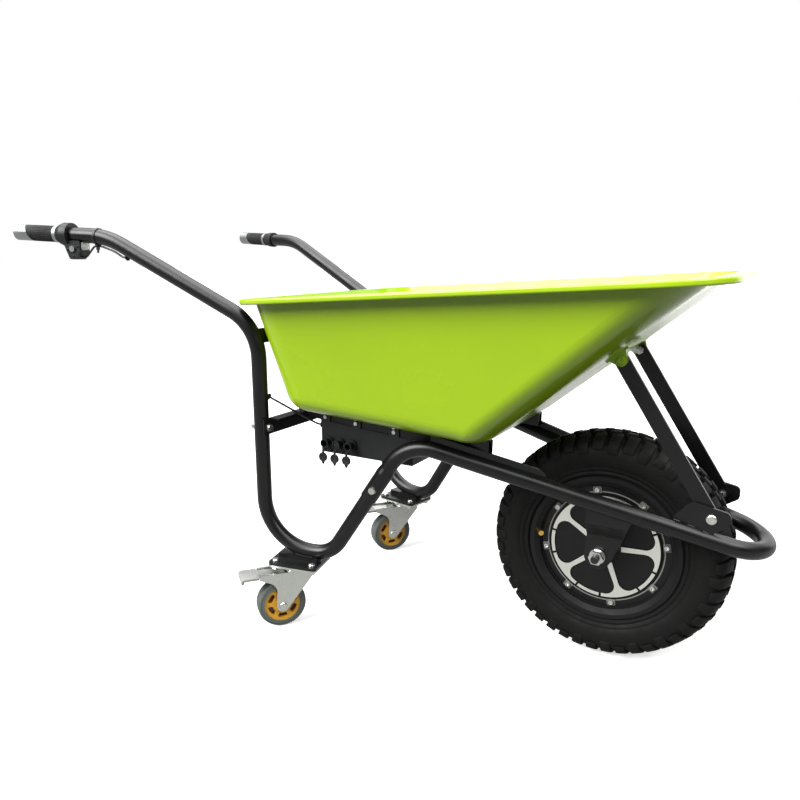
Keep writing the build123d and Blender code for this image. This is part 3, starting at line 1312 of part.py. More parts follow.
def caster_fork(swivel):
    """Swivelling fork: a pressed crown cup and two legs."""
    own = caster_plane(swivel)
    with BuildPart() as fork:
        with BuildSketch(own.offset(crown_low)):
            Circle(CROWN_R)
        extrude(amount=CROWN_T + RACE_H - 1.5, taper=6)
        with BuildSketch(own.offset(crown_top)):
            Circle(RACE_R + 0.6)
        extrude(amount=20, mode=Mode.SUBTRACT)
        for across in (leg_in + FORK_T, -leg_in):
            with BuildSketch(beside(swivel, across)):
                with BuildLine():
                    Line((-CROWN_R * 0.72, crown_low - 9), (-CROWN_R * 0.72, crown_low + 1))
                    Line((-CROWN_R * 0.72, crown_low + 1), (FORK_REACH, crown_low + 1))
                    Line((FORK_REACH, crown_low + 1), fork_tip)
                    Line(fork_tip, fork_shelf)
                    ThreePointArc(fork_shelf, fork_throat, fork_waist)
                    Line(fork_waist, (CASTER_TRAIL + FORK_END_R, CASTER_R))
                    Line((CASTER_TRAIL + FORK_END_R, CASTER_R), (CASTER_TRAIL, CASTER_R))
                    Line((CASTER_TRAIL, CASTER_R), fork_heel)
                    Line(fork_heel, (-CROWN_R * 0.72, crown_low - 9))
                make_face()
                with Locations((CASTER_TRAIL, CASTER_R)):
                    Circle(FORK_END_R)
                with Locations((CASTER_TRAIL, CASTER_R)):
                    Circle(CASTER_AXLE_R + 0.05, mode=Mode.SUBTRACT)
                with Locations((PEDAL_PIVOT_X, pedal_pin_z)):
                    Circle(PEDAL_PIN_R + RUN, mode=Mode.SUBTRACT)
            extrude(amount=FORK_T)
        with BuildSketch(own.offset(crown_low - 2)):
            Circle(KINGPIN_R + RUN)
        extrude(amount=CROWN_T + 4, mode=Mode.SUBTRACT)
    return fork.part


def caster_axle(swivel):
    """Axle bolt of a caster wheel."""
    own = caster_plane(swivel)
    seat = own.from_local_coords(Vector(CASTER_TRAIL, leg_in + FORK_T, CASTER_R))
    return domed_bolt(seat, own.y_dir * -1, FORK_GAP + 2 * FORK_T, 8, CASTER_AXLE_R, 8, 1.5)


def wheel_plane(swivel):
    """Middle plane of a caster wheel."""
    own = caster_plane(swivel)
    return Plane(own.from_local_coords(Vector(CASTER_TRAIL, 0, CASTER_R)), x_dir=trail_dir, z_dir=own.y_dir)


def caster_core(swivel):
    """Amber wheel centre with pockets between its spokes, on both sides of a web."""
    middle = wheel_plane(swivel)
    with BuildPart() as core:
        with BuildSketch(middle.offset(-CASTER_W / 2 + 3)):
            Circle(CASTER_CORE_R)
        extrude(amount=CASTER_W - 6)
        with BuildSketch(middle.offset(-leg_in + 1)):
            Circle(11)
        extrude(amount=FORK_GAP - 2)
        for start in (CASTER_WEB / 2, -CASTER_WEB / 2 - CASTER_W):
            with BuildSketch(middle.offset(start)) as pockets:
                Circle(POCKET_R + POCKET_W / 2)
                Circle(POCKET_R - POCKET_W / 2, mode=Mode.SUBTRACT)
                with PolarLocations(POCKET_R, CASTER_SPOKES):
                    Rectangle(2 * POCKET_W, CASTER_SPOKE_W, mode=Mode.SUBTRACT)
                fillet(pockets.vertices(), POCKET_CORNER)
            extrude(amount=CASTER_W, mode=Mode.SUBTRACT)
        with BuildSketch(middle.offset(-FORK_GAP)):
            Circle(CASTER_AXLE_R + RUN)
        extrude(amount=2 * FORK_GAP, mode=Mode.SUBTRACT)
    return core.part


def caster_tyre(swivel):
    """Grey tyre moulded round the core."""
    middle = wheel_plane(swivel)
    with BuildPart() as ring:
        with BuildSketch(middle.offset(-CASTER_W / 2)):
            Circle(CASTER_R)
        extrude(amount=CASTER_W)
        fillet(ring.edges(), 7)
        with BuildSketch(middle.offset(-CASTER_W)):
            Circle(CASTER_CORE_R)
        extrude(amount=2 * CASTER_W, mode=Mode.SUBTRACT)
    return ring.part


def caster_pedal(swivel):
    """Brake pedal with its shoe, on a pin between the fork legs."""
    own = caster_plane(swivel)
    with BuildPart() as pedal:
        with BuildSketch(beside(swivel, leg_in + FORK_T)):
            with Locations((PEDAL_PIVOT_X, pedal_pin_z)):
                Circle(PEDAL_PIN_R)
        extrude(amount=FORK_GAP + 2 * FORK_T)
        with BuildSketch(beside(swivel, pedal_half)):
            with Locations((PEDAL_PIVOT_X, pedal_pin_z)):
                Circle(PEDAL_PIN_R + 2.5)
            with Locations((PEDAL_PIVOT_X, pedal_z)):
                Rectangle(PEDAL_REACH - PEDAL_PIVOT_X, PEDAL_T, align=(Align.MIN, Align.MIN))
            with Locations((PEDAL_REACH, pedal_z + PEDAL_T)):
                Rectangle(PEDAL_T, 9, align=(Align.MAX, Align.MAX))
            with Locations((SHOE_FROM, pedal_pin_z - SHOE_DROP)):
                Rectangle(SHOE_L, PEDAL_RAISE + SHOE_DROP, align=(Align.MIN, Align.MIN))
        extrude(amount=PEDAL_W)
        with BuildSketch(own.offset(pedal_z)):
            with Locations((PEDAL_REACH - PEDAL_PAD / 2, 0)):
                RectangleRounded(PEDAL_PAD, PEDAL_W + 12, 8)
        extrude(amount=PEDAL_T)
    return pedal.part


with BuildPart() as caster_fork_right:
    add(caster_fork(swivel_right))
with BuildPart() as caster_fork_left:
    add(caster_fork(swivel_left))
with BuildPart() as caster_axle_right:
    add(caster_axle(swivel_right))
with BuildPart() as caster_axle_left:
    add(caster_axle(swivel_left))
with BuildPart() as caster_core_right:
    add(caster_core(swivel_right))
with BuildPart() as caster_core_left:
    add(caster_core(swivel_left))
with BuildPart() as caster_tyre_right:
    add(caster_tyre(swivel_right))
with BuildPart() as caster_tyre_left:
    add(caster_tyre(swivel_left))
with BuildPart() as caster_pedal_right:
    add(caster_pedal(swivel_right))
with BuildPart() as caster_pedal_left:
    add(caster_pedal(swivel_left))

# Grips: every piece is turned about the grip's axis, from the tube's end outwards
grip_origin = on_side(tube_end.X, tube_end.Y)
grip_far = on_side(tube_end.X + grip_dir.X, tube_end.Y + grip_dir.Y)
grip_run = (grip_far - grip_origin).normalized()
grip_section = Plane(grip_origin, x_dir=grip_run, z_dir=side_out * -1)
grip_axis = Axis(grip_origin, grip_run)
flare_from = COLLAR_FROM + COLLAR_L + THROTTLE_GAP
ring_from = flare_from + FLARE_L
rubber_from = ring_from + RING_L
end_lean = (END_LOW - END_TOP) / (2 * GRIP_R)
end_middle = GRIP_L - (END_TOP + END_LOW) / 2
stub_to = GRIP_L - 7


def turned(points):
    """Piece turned about the right grip's axis, from a profile of places along it and radii."""
    with BuildPart() as piece:
        with BuildSketch(grip_section):
            with BuildLine():
                Polyline(*points, close=True)
            make_face()
        revolve(axis=grip_axis)
    return piece.part


stub = turned(
    [
        (-STUB_INSERT, STUB_BORE_R),
        (-STUB_INSERT, TUBE_OD / 2 - TUBE_WALL - 0.02),
        (0, TUBE_OD / 2 - TUBE_WALL - 0.02),
        (0, STUB_R),
        (stub_to, STUB_R),
        (stub_to, STUB_BORE_R),
    ]
)
with BuildPart() as handlebar_stubs:
    add(both_sides(stub))

with BuildPart() as beyond_joint:
    with BuildSketch(grip_section.offset(-2 * GRIP_R)):
        with BuildLine():
            Polyline(
                (end_middle - end_lean * 2 * GRIP_R, -2 * GRIP_R),
                (end_middle + end_lean * 2 * GRIP_R, 2 * GRIP_R),
                (GRIP_L + 10, 2 * GRIP_R),
                (GRIP_L + 10, -2 * GRIP_R),
                close=True,
            )
        make_face()
    extrude(amount=4 * GRIP_R)

with BuildPart() as grip_trim:
    add(
        turned(
            [
                (GRIP_L - END_LOW, STUB_R + RUN),
                (GRIP_L - END_LOW, GRIP_R),
                (GRIP_L - 4, GRIP_R),
                (GRIP_L, GRIP_R - 4),
                (GRIP_L, 0),
                (stub_to + 0.3, 0),
                (stub_to + 0.3, STUB_R + RUN),
            ]
        )
    )
    add(beyond_joint.part, mode=Mode.INTERSECT)
    add(
        turned(
            [
                (ring_from, GRIP_R - 1.99),
                (ring_from, RING_R),
                (rubber_from, RING_R),
                (rubber_from, GRIP_R - 1.99),
            ]
        )
    )
with BuildPart() as throttle_trim:
    add(grip_trim.part)
with BuildPart() as left_grip_trim:
    mirror(grip_trim.part, about=Plane.XZ)

with BuildPart() as throttle_grip:
    add(
        turned(
            [
                (flare_from, STUB_R + RUN),
                (flare_from, FLARE_R),
                (flare_from + 4, FLARE_R),
                (ring_from, GRIP_R - 0.5),
                (ring_from, GRIP_R - 2),
                (rubber_from, GRIP_R - 2),
                (rubber_from, GRIP_R),
                (GRIP_L - END_TOP, GRIP_R),
                (GRIP_L - END_TOP, STUB_R + RUN),
            ]
        )
    )
    add(beyond_joint.part, mode=Mode.SUBTRACT)
with BuildPart() as right_hand_copy:
    add(
        turned(
            [
                (COLLAR_FROM, STUB_R + 0.02),
                (COLLAR_FROM, GRIP_R + 3),
                (COLLAR_FROM + COLLAR_L, GRIP_R + 3),
                (ring_from, GRIP_R - 0.5),
                (ring_from, GRIP_R - 2),
                (rubber_from, GRIP_R - 2),
                (rubber_from, GRIP_R),
                (GRIP_L - END_TOP, GRIP_R),
                (GRIP_L - END_TOP, STUB_R + 0.02),
            ]
        )
    )
    add(beyond_joint.part, mode=Mode.SUBTRACT)
with BuildPart() as left_grip:
    mirror(right_hand_copy.part, about=Plane.XZ)

reverse_at = grip_section.from_local_coords(Vector(-11, -TUBE_OD / 2 - 12, 0)) + side_out * HOUSING_W / 2
with BuildPart() as throttle_housing:
    with BuildSketch(grip_section.offset(-HOUSING_W / 2)):
        with BuildLine():
            FilletPolyline(
                (HOUSING_BACK, -TUBE_OD / 2 + 4),
                (HOUSING_BACK - 1, -TUBE_OD / 2 - 7),
                (-2, -HOUSING_DEPTH),
                (-HOUSING_FRONT + 11, -HOUSING_DEPTH),
                (-HOUSING_FRONT, -HOUSING_DEPTH + 17),
                (-HOUSING_FRONT, -TUBE_OD / 2 + 4),
                radius=[2, 4, 5, 4, 4, 2],
                close=True,
            )
        make_face()
    extrude(amount=HOUSING_W)
    add(
        turned(
            [
                (COLLAR_FROM, STUB_R + 0.02),
                (COLLAR_FROM, COLLAR_R),
                (COLLAR_FROM + COLLAR_L, COLLAR_R),
                (COLLAR_FROM + COLLAR_L, STUB_R + 0.02),
            ]
        )
    )
    tube_room = rod(grip_origin - grip_run * 60, grip_origin + grip_run * COLLAR_FROM, TUBE_OD / 2 + 0.05)
    add(tube_room, mode=Mode.SUBTRACT)
    stub_room = rod(grip_origin - grip_run, grip_origin + grip_run * 40, STUB_R + 0.02)
    add(stub_room, mode=Mode.SUBTRACT)
    button_well = rod(reverse_at + side_out, reverse_at - side_out * 9, REVERSE_R + RUN)
    add(button_well, mode=Mode.SUBTRACT)
    add(swept_tube(lead_route[:4], lead_radii[:2], LEAD_R + 0.02), mode=Mode.SUBTRACT)

with BuildPart() as reverse_button:
    button_root = reverse_at - side_out * (9 - REVERSE_TRAVEL - 0.5)
    add(rod(button_root, reverse_at + side_out * (REVERSE_TRAVEL + 0.8), REVERSE_R))

# Lead, its tie and grommets
with BuildPart() as throttle_lead:
    add(swept_tube(lead_route, lead_radii, LEAD_R))

with BuildLine():
    handle_line = FilletPolyline(*rear_route[:3], radius=HANDLE_BEND_R)
tie_at = handle_line.position_at(TIE_ALONG, position_mode=PositionMode.LENGTH)
tie_run = handle_line.tangent_at(TIE_ALONG, position_mode=PositionMode.LENGTH)
tie_drop = lead_below + 0.65
with BuildPart() as cable_tie:
    with BuildSketch(Plane(tie_at - tie_run * TIE_W / 2, x_dir=side_out, z_dir=tie_run)):
        Circle(TUBE_OD / 2 + 0.2 + TIE_T)
        with Locations((0, tie_drop)):
            Circle(LEAD_R + 0.3 + TIE_T)
        make_hull()
        Circle(TUBE_OD / 2 + 0.2, mode=Mode.SUBTRACT)
        with Locations((0, tie_drop)):
            Circle(LEAD_R + 0.3, mode=Mode.SUBTRACT)
        with Locations((0, tie_drop + LEAD_R + 0.5)):
            Rectangle(6, 5, align=(Align.CENTER, Align.MIN))
            Rectangle(TIE_T, TIE_TAIL, align=(Align.CENTER, Align.MIN))
    extrude(amount=TIE_W)


def grommet(start, aim, length):
    """Rubber ring lining a hole in the right rear tube, its flange outside."""
    with BuildPart() as piece:
        add(rod(start, start + aim * 2.5, GROMMET_FLANGE_R))
        add(rear_envelope, mode=Mode.SUBTRACT)
        add(rod(start, start + aim * length, GROMMET_R))
        add(rod(start - aim, start + aim * (length + 1), LEAD_R + 0.02), mode=Mode.SUBTRACT)
    return piece.part


gland_end = gland_face - Vector(GLAND_L, 0, 0)
with BuildPart() as cable_grommets:
    add(rod(gland_face, gland_end, GLAND_R - 1))
    add(hex_prism(gland_face, (-1, 0, 0), GLAND_R + 1, 5))
    add(rod(gland_face + Vector(1, 0, 0), gland_end - Vector(1, 0, 0), LEAD_R + 0.02), mode=Mode.SUBTRACT)
    add(grommet(entry_from + entry_dir * 6.5, entry_dir, 8.5))
    add(grommet(exit_from + exit_dir * 22, exit_dir * -1, 9))

# Export
front_frame_tube.part.label = "front_frame_tube"
export_step(front_frame_tube.part, "parts/front_frame_tube.step")
rear_frame_tube_right.part.label = "rear_frame_tube_right"
export_step(rear_frame_tube_right.part, "parts/rear_frame_tube_right.step")
rear_frame_tube_left.part.label = "rear_frame_tube_left"
export_step(rear_frame_tube_left.part, "parts/rear_frame_tube_left.step")
rear_cross_member.part.label = "rear_cross_member"
export_step(rear_cross_member.part, "parts/rear_cross_member.step")
tub_rails.part.label = "tub_rails"
export_step(tub_rails.part, "parts/tub_rails.step")
frame_stiffeners.part.label = "frame_stiffeners"
export_step(frame_stiffeners.part, "parts/frame_stiffeners.step")
dropout_plates.part.label = "dropout_plates"
export_step(dropout_plates.part, "parts/dropout_plates.step")
strut_brackets.part.label = "strut_brackets"
export_step(strut_brackets.part, "parts/strut_brackets.step")
front_struts.part.label = "front_struts"
export_step(front_struts.part, "parts/front_struts.step")
strut_top_bracket.part.label = "strut_top_bracket"
export_step(strut_top_bracket.part, "parts/strut_top_bracket.step")
strut_bolts.part.label = "strut_bolts"
export_step(strut_bolts.part, "parts/strut_bolts.step")
tub.part.label = "tub"
export_step(tub.part, "parts/tub.step")
tub_rear_brackets.part.label = "tub_rear_brackets"
export_step(tub_rear_brackets.part, "parts/tub_rear_brackets.step")
tub_bolts.part.label = "tub_bolts"
export_step(tub_bolts.part, "parts/tub_bolts.step")
frame_bolts.part.label = "frame_bolts"
export_step(frame_bolts.part, "parts/frame_bolts.step")
battery_box.part.label = "battery_box"
export_step(battery_box.part, "parts/battery_box.step")
battery_box_lid.part.label = "battery_box_lid"
export_step(battery_box_lid.part, "parts/battery_box_lid.step")
box_screws.part.label = "box_screws"
export_step(box_screws.part, "parts/box_screws.step")
battery_pack.part.label = "battery_pack"
export_step(battery_pack.part, "parts/battery_pack.step")
motor_controller.part.label = "motor_controller"
export_step(motor_controller.part, "parts/motor_controller.step")
panel_sockets.part.label = "panel_sockets"
export_step(panel_sockets.part, "parts/panel_sockets.step")
power_button.part.label = "power_button"
export_step(power_button.part, "parts/power_button.step")
socket_cap_rear.part.label = "socket_cap_rear"
export_step(socket_cap_rear.part, "parts/socket_cap_rear.step")
socket_cap_middle.part.label = "socket_cap_middle"
export_step(socket_cap_middle.part, "parts/socket_cap_middle.step")
socket_cap_front.part.label = "socket_cap_front"
export_step(socket_cap_front.part, "parts/socket_cap_front.step")
tyre.part.label = "tyre"
export_step(tyre.part, "parts/tyre.step")
hub_rim.part.label = "hub_rim"
export_step(hub_rim.part, "parts/hub_rim.step")
hub_cover_right.part.label = "hub_cover_right"
export_step(hub_cover_right.part, "parts/hub_cover_right.step")
hub_cover_left.part.label = "hub_cover_left"
export_step(hub_cover_left.part, "parts/hub_cover_left.step")
hub_screws.part.label = "hub_screws"
export_step(hub_screws.part, "parts/hub_screws.step")
magnet_ring.part.label = "magnet_ring"
export_step(magnet_ring.part, "parts/magnet_ring.step")
motor_stator.part.label = "motor_stator"
export_step(motor_stator.part, "parts/motor_stator.step")
hub_bearings.part.label = "hub_bearings"
export_step(hub_bearings.part, "parts/hub_bearings.step")
motor_axle.part.label = "motor_axle"
export_step(motor_axle.part, "parts/motor_axle.step")
axle_nuts.part.label = "axle_nuts"
export_step(axle_nuts.part, "parts/axle_nuts.step")
valve_stem.part.label = "valve_stem"
export_step(valve_stem.part, "parts/valve_stem.step")
caster_mount_plates.part.label = "caster_mount_plates"
export_step(caster_mount_plates.part, "parts/caster_mount_plates.step")
caster_top_plates.part.label = "caster_top_plates"
export_step(caster_top_plates.part, "parts/caster_top_plates.step")
caster_plate_bolts.part.label = "caster_plate_bolts"
export_step(caster_plate_bolts.part, "parts/caster_plate_bolts.step")
caster_fork_right.part.label = "caster_fork_right"
export_step(caster_fork_right.part, "parts/caster_fork_right.step")
caster_fork_left.part.label = "caster_fork_left"
export_step(caster_fork_left.part, "parts/caster_fork_left.step")
caster_axle_right.part.label = "caster_axle_right"
export_step(caster_axle_right.part, "parts/caster_axle_right.step")
caster_axle_left.part.label = "caster_axle_left"
export_step(caster_axle_left.part, "parts/caster_axle_left.step")
caster_core_right.part.label = "caster_core_right"
export_step(caster_core_right.part, "parts/caster_core_right.step")
caster_core_left.part.label = "caster_core_left"
export_step(caster_core_left.part, "parts/caster_core_left.step")
caster_tyre_right.part.label = "caster_tyre_right"
export_step(caster_tyre_right.part, "parts/caster_tyre_right.step")
caster_tyre_left.part.label = "caster_tyre_left"
export_step(caster_tyre_left.part, "parts/caster_tyre_left.step")
caster_pedal_right.part.label = "caster_pedal_right"
export_step(caster_pedal_right.part, "parts/caster_pedal_right.step")
caster_pedal_left.part.label = "caster_pedal_left"
export_step(caster_pedal_left.part, "parts/caster_pedal_left.step")
handlebar_stubs.part.label = "handlebar_stubs"
export_step(handlebar_stubs.part, "parts/handlebar_stubs.step")
throttle_grip.part.label = "throttle_grip"
export_step(throttle_grip.part, "parts/throttle_grip.step")
throttle_trim.part.label = "throttle_trim"
export_step(throttle_trim.part, "parts/throttle_trim.step")
left_grip.part.label = "left_grip"
export_step(left_grip.part, "parts/left_grip.step")
left_grip_trim.part.label = "left_grip_trim"
export_step(left_grip_trim.part, "parts/left_grip_trim.step")
throttle_housing.part.label = "throttle_housing"
export_step(throttle_housing.part, "parts/throttle_housing.step")
reverse_button.part.label = "reverse_button"
export_step(reverse_button.part, "parts/reverse_button.step")
throttle_lead.part.label = "throttle_lead"
export_step(throttle_lead.part, "parts/throttle_lead.step")
cable_tie.part.label = "cable_tie"
export_step(cable_tie.part, "parts/cable_tie.step")
cable_grommets.part.label = "cable_grommets"
export_step(cable_grommets.part, "parts/cable_grommets.step")
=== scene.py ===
import json
from math import atan2, cos, pi, radians, sin, tau

import bpy
from mathutils import Matrix, Vector


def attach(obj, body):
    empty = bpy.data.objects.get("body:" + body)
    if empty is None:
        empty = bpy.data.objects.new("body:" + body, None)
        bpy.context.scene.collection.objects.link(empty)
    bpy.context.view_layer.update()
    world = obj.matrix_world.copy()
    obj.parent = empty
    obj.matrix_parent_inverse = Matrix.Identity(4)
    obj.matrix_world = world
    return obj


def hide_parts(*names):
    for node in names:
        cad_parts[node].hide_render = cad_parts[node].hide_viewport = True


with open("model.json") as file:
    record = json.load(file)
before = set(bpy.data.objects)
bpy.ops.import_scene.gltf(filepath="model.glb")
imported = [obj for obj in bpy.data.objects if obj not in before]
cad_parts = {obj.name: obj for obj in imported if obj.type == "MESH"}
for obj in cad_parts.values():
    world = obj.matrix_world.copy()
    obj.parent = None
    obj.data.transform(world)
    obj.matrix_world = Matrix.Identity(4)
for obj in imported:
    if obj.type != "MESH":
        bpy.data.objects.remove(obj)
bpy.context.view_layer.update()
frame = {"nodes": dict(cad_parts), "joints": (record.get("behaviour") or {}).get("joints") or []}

MM = 0.001
SMOOTH_BELOW = radians(32)

joints = {joint["name"]: joint for joint in frame["joints"]}


def joint_place(name):
    """A point on a joint's axis at rest."""
    return Vector(joints[name]["pos_m"])


def joint_axis(name):
    """The direction of a joint's axis at rest."""
    return Vector(joints[name]["axis"]).normalized()


wheel_centre = joint_place("wheel_spin")


# Finishes

WAVE_PERIOD = tau / 20  # the length of one wave texture ripple at scale 1
NOISE_RANGE = {"From Min": 0.3, "From Max": 0.7}  # most values of a noise texture lie in here

# Sockets of a Mix node go by number, because those for numbers and for colours share their names
FACTOR = 0
NUMBER_A, NUMBER_B, NUMBER_OUT = 2, 3, 0
COLOUR_A, COLOUR_B, COLOUR_OUT = 6, 7, 2


def linear(colour):
    """An sRGB hex colour as the linear colour that a shader socket takes."""
    levels = [int(colour[start:start + 2], 16) / 255 for start in (1, 3, 5)]
    return tuple(c / 12.92 if c <= 0.04045 else ((c + 0.055) / 1.055) ** 2.4 for c in levels) + (1.0,)


def per(size_mm):
    """The texture scale that gives features of this size."""
    return 1 / (size_mm * MM)


def add_node(tree, kind, values=None, links=None, **settings):
    """Adds a shader node with its settings, constants and links, and gives its outputs."""
    node = tree.nodes.new("ShaderNode" + kind)
    for name, setting in settings.items():
        setattr(node, name, setting)
    for socket, value in (values or {}).items():
        node.inputs[socket].default_value = value
    for socket, source in (links or {}).items():
        tree.links.new(source, node.inputs[socket])
    return node.outputs


def new_finish(name):
    """An empty material, with the place on the piece that its patterns start from."""
    material = bpy.data.materials.new(name)
    material.use_nodes = True
    material.node_tree.nodes.clear()
    place = add_node(material.node_tree, "TexCoord")["Object"]
    return material, material.node_tree, place


def sprayed_finish(
    name, colours, rough, patch_mm, peel_mm, peel_depth_mm, wave_mm=0, wave_depth_mm=0, **gloss
):
    """A paint or moulding: patchy colour and gloss, a pebbled skin and, on sheet metal, slow waves."""
    material, tree, place = new_finish(name)
    patches = add_node(tree, "TexNoise", {"Scale": per(patch_mm), "Detail": 4.0}, {"Vector": place})["Fac"]
    colour = add_node(
        tree,
        "Mix",
        {COLOUR_A: linear(colours[0]), COLOUR_B: linear(colours[1])},
        {FACTOR: patches},
        data_type="RGBA",
    )[COLOUR_OUT]
    roughness = add_node(
        tree, "MapRange", {**NOISE_RANGE, "To Min": rough[0], "To Max": rough[1]}, {"Value": patches}
    )["Result"]
    pebbles = add_node(tree, "TexNoise", {"Scale": per(peel_mm), "Detail": 2.0}, {"Vector": place})["Fac"]
    skin = {"Height": pebbles}
    if wave_mm:
        sheet = add_node(tree, "TexNoise", {"Scale": per(wave_mm), "Detail": 1.0}, {"Vector": place})["Fac"]
        skin["Normal"] = add_node(
            tree, "Bump", {"Strength": 1.0, "Distance": wave_depth_mm * MM}, {"Height": sheet}
        )["Normal"]
    bump = add_node(tree, "Bump", {"Strength": 1.0, "Distance": peel_depth_mm * MM}, skin)["Normal"]
    shader = add_node(
        tree,
        "BsdfPrincipled",
        {socket.replace("_", " "): value for socket, value in gloss.items()},
        {"Base Color": colour, "Roughness": roughness, "Normal": bump},
    )["BSDF"]
    add_node(tree, "OutputMaterial", links={"Surface": shader})
    return material


# How much turned metal shows on a face of the hub, how far out it lies at least, and its radii (mm): the
# spokes fully, the pads and the thin ring only partly, dimmed towards the black paint as a painted shade for
# the dark their metal reflects
TURNED_FACES = ((1, 31.3, 30.5, 120), (0.16, 28.8, 103, 120), (0.3, 26.8, 105, 107))
FADE_DEEP = 0.15  # the paint fades out into a turned face over this depth and this width (mm)
FADE_WIDE = 0.4
TURNING_MARK = 1.6  # the real marks are about 0.2 mm apart, so they are drawn coarser to show
CAST_PATCH = 14
CAST_GRAIN = 1.6


def hub_casting():
    """Cast aluminium painted satin black, then faced in a lathe: the raised spokes are bright, while the
    turned pads and thin ring are dimmed towards the black as a painted shade.
    """
    material, tree, place = new_finish("painted_cast_aluminium_with_turned_faces")
    from_axle = add_node(tree, "VectorMath", {1: wheel_centre}, {0: place}, operation="SUBTRACT")["Vector"]
    depth = add_node(tree, "SeparateXYZ", links={"Vector": from_axle})["Y"]
    depth = add_node(tree, "Math", links={0: depth}, operation="ABSOLUTE")["Value"]
    flat = add_node(tree, "VectorMath", {1: (1, 0, 1)}, {0: from_axle}, operation="MULTIPLY")["Vector"]
    radius = add_node(tree, "VectorMath", links={0: flat}, operation="LENGTH")["Value"]
    bare_metal_with_painted_shade = None
    # painted shade: a share below full on the pads and the thin ring dims their turned metal towards the
    # black paint
    for metal_share, least_depth, inner, outer in TURNED_FACES:
        limits = (
            ({"From Min": least_depth - FADE_DEEP, "From Max": least_depth}, depth, (0, metal_share)),
            ({"From Min": inner - FADE_WIDE, "From Max": inner}, radius, (0, 1)),
            ({"From Min": outer, "From Max": outer + FADE_WIDE}, radius, (1, 0)),
        )
        face = None
        for ends, measure, (low, high) in limits:
            values = {end: size * MM for end, size in ends.items()}
            within = add_node(
                tree, "MapRange", {**values, "To Min": low, "To Max": high}, {"Value": measure}
            )["Result"]
            face = within if face is None else add_node(
                tree, "Math", links={0: face, 1: within}, operation="MULTIPLY"
            )["Value"]
        bare_metal_with_painted_shade = face if bare_metal_with_painted_shade is None else add_node(
            tree, "Math", links={0: bare_metal_with_painted_shade, 1: face}, operation="MAXIMUM"
        )["Value"]
    marks = add_node(
        tree,
        "TexWave",
        {"Scale": WAVE_PERIOD * per(TURNING_MARK), "Distortion": 0.6, "Detail": 2.0},
        {"Vector": from_axle},
        wave_type="RINGS",
        rings_direction="Y",
    )["Fac"]
    patches = add_node(
        tree, "TexNoise", {"Scale": per(CAST_PATCH), "Detail": 4.0}, {"Vector": place}
    )["Fac"]
    paint = add_node(
        tree,
        "Mix",
        {COLOUR_A: linear("#050506"), COLOUR_B: linear("#0a0a0b")},
        {FACTOR: patches},
        data_type="RGBA",
    )[COLOUR_OUT]
    metal = add_node(
        tree,
        "Mix",
        {COLOUR_A: linear("#c9cbc3"), COLOUR_B: linear("#e3e4dd")},
        {FACTOR: marks},
        data_type="RGBA",
    )[COLOUR_OUT]
    colour = add_node(
        tree, "Mix", links={FACTOR: bare_metal_with_painted_shade, COLOUR_A: paint, COLOUR_B: metal}, data_type="RGBA"
    )[COLOUR_OUT]
    paint_gloss = add_node(tree, "MapRange", {"To Min": 0.34, "To Max": 0.5}, {"Value": patches})["Result"]
    metal_gloss = add_node(tree, "MapRange", {"To Min": 0.3, "To Max": 0.42}, {"Value": marks})["Result"]
    roughness = add_node(
        tree, "Mix", links={FACTOR: bare_metal_with_painted_shade, NUMBER_A: paint_gloss, NUMBER_B: metal_gloss}
    )[NUMBER_OUT]
    grain = add_node(tree, "TexNoise", {"Scale": per(CAST_GRAIN), "Detail": 2.0}, {"Vector": place})["Fac"]
    relief = add_node(tree, "Mix", links={FACTOR: bare_metal_with_painted_shade, NUMBER_A: grain, NUMBER_B: marks})[NUMBER_OUT]
    bump = add_node(tree, "Bump", {"Strength": 0.6, "Distance": 0.12 * MM}, {"Height": relief})["Normal"]
    shader = add_node(
        tree,
        "BsdfPrincipled",
        {"Specular IOR Level": 0.25},
        {"Base Color": colour, "Metallic": bare_metal_with_painted_shade, "Roughness": roughness, "Normal": bump},
    )["BSDF"]
    add_node(tree, "OutputMaterial", links={"Surface": shader})
    return material


POCKET_SHADE_FULL = 4.1  # from the middle of the roller out: painted shade, dark brown, at the pocket floors, full amber further out (mm)
POCKET_SHADE_GONE = 6.5
FLOW_PATCH = 9


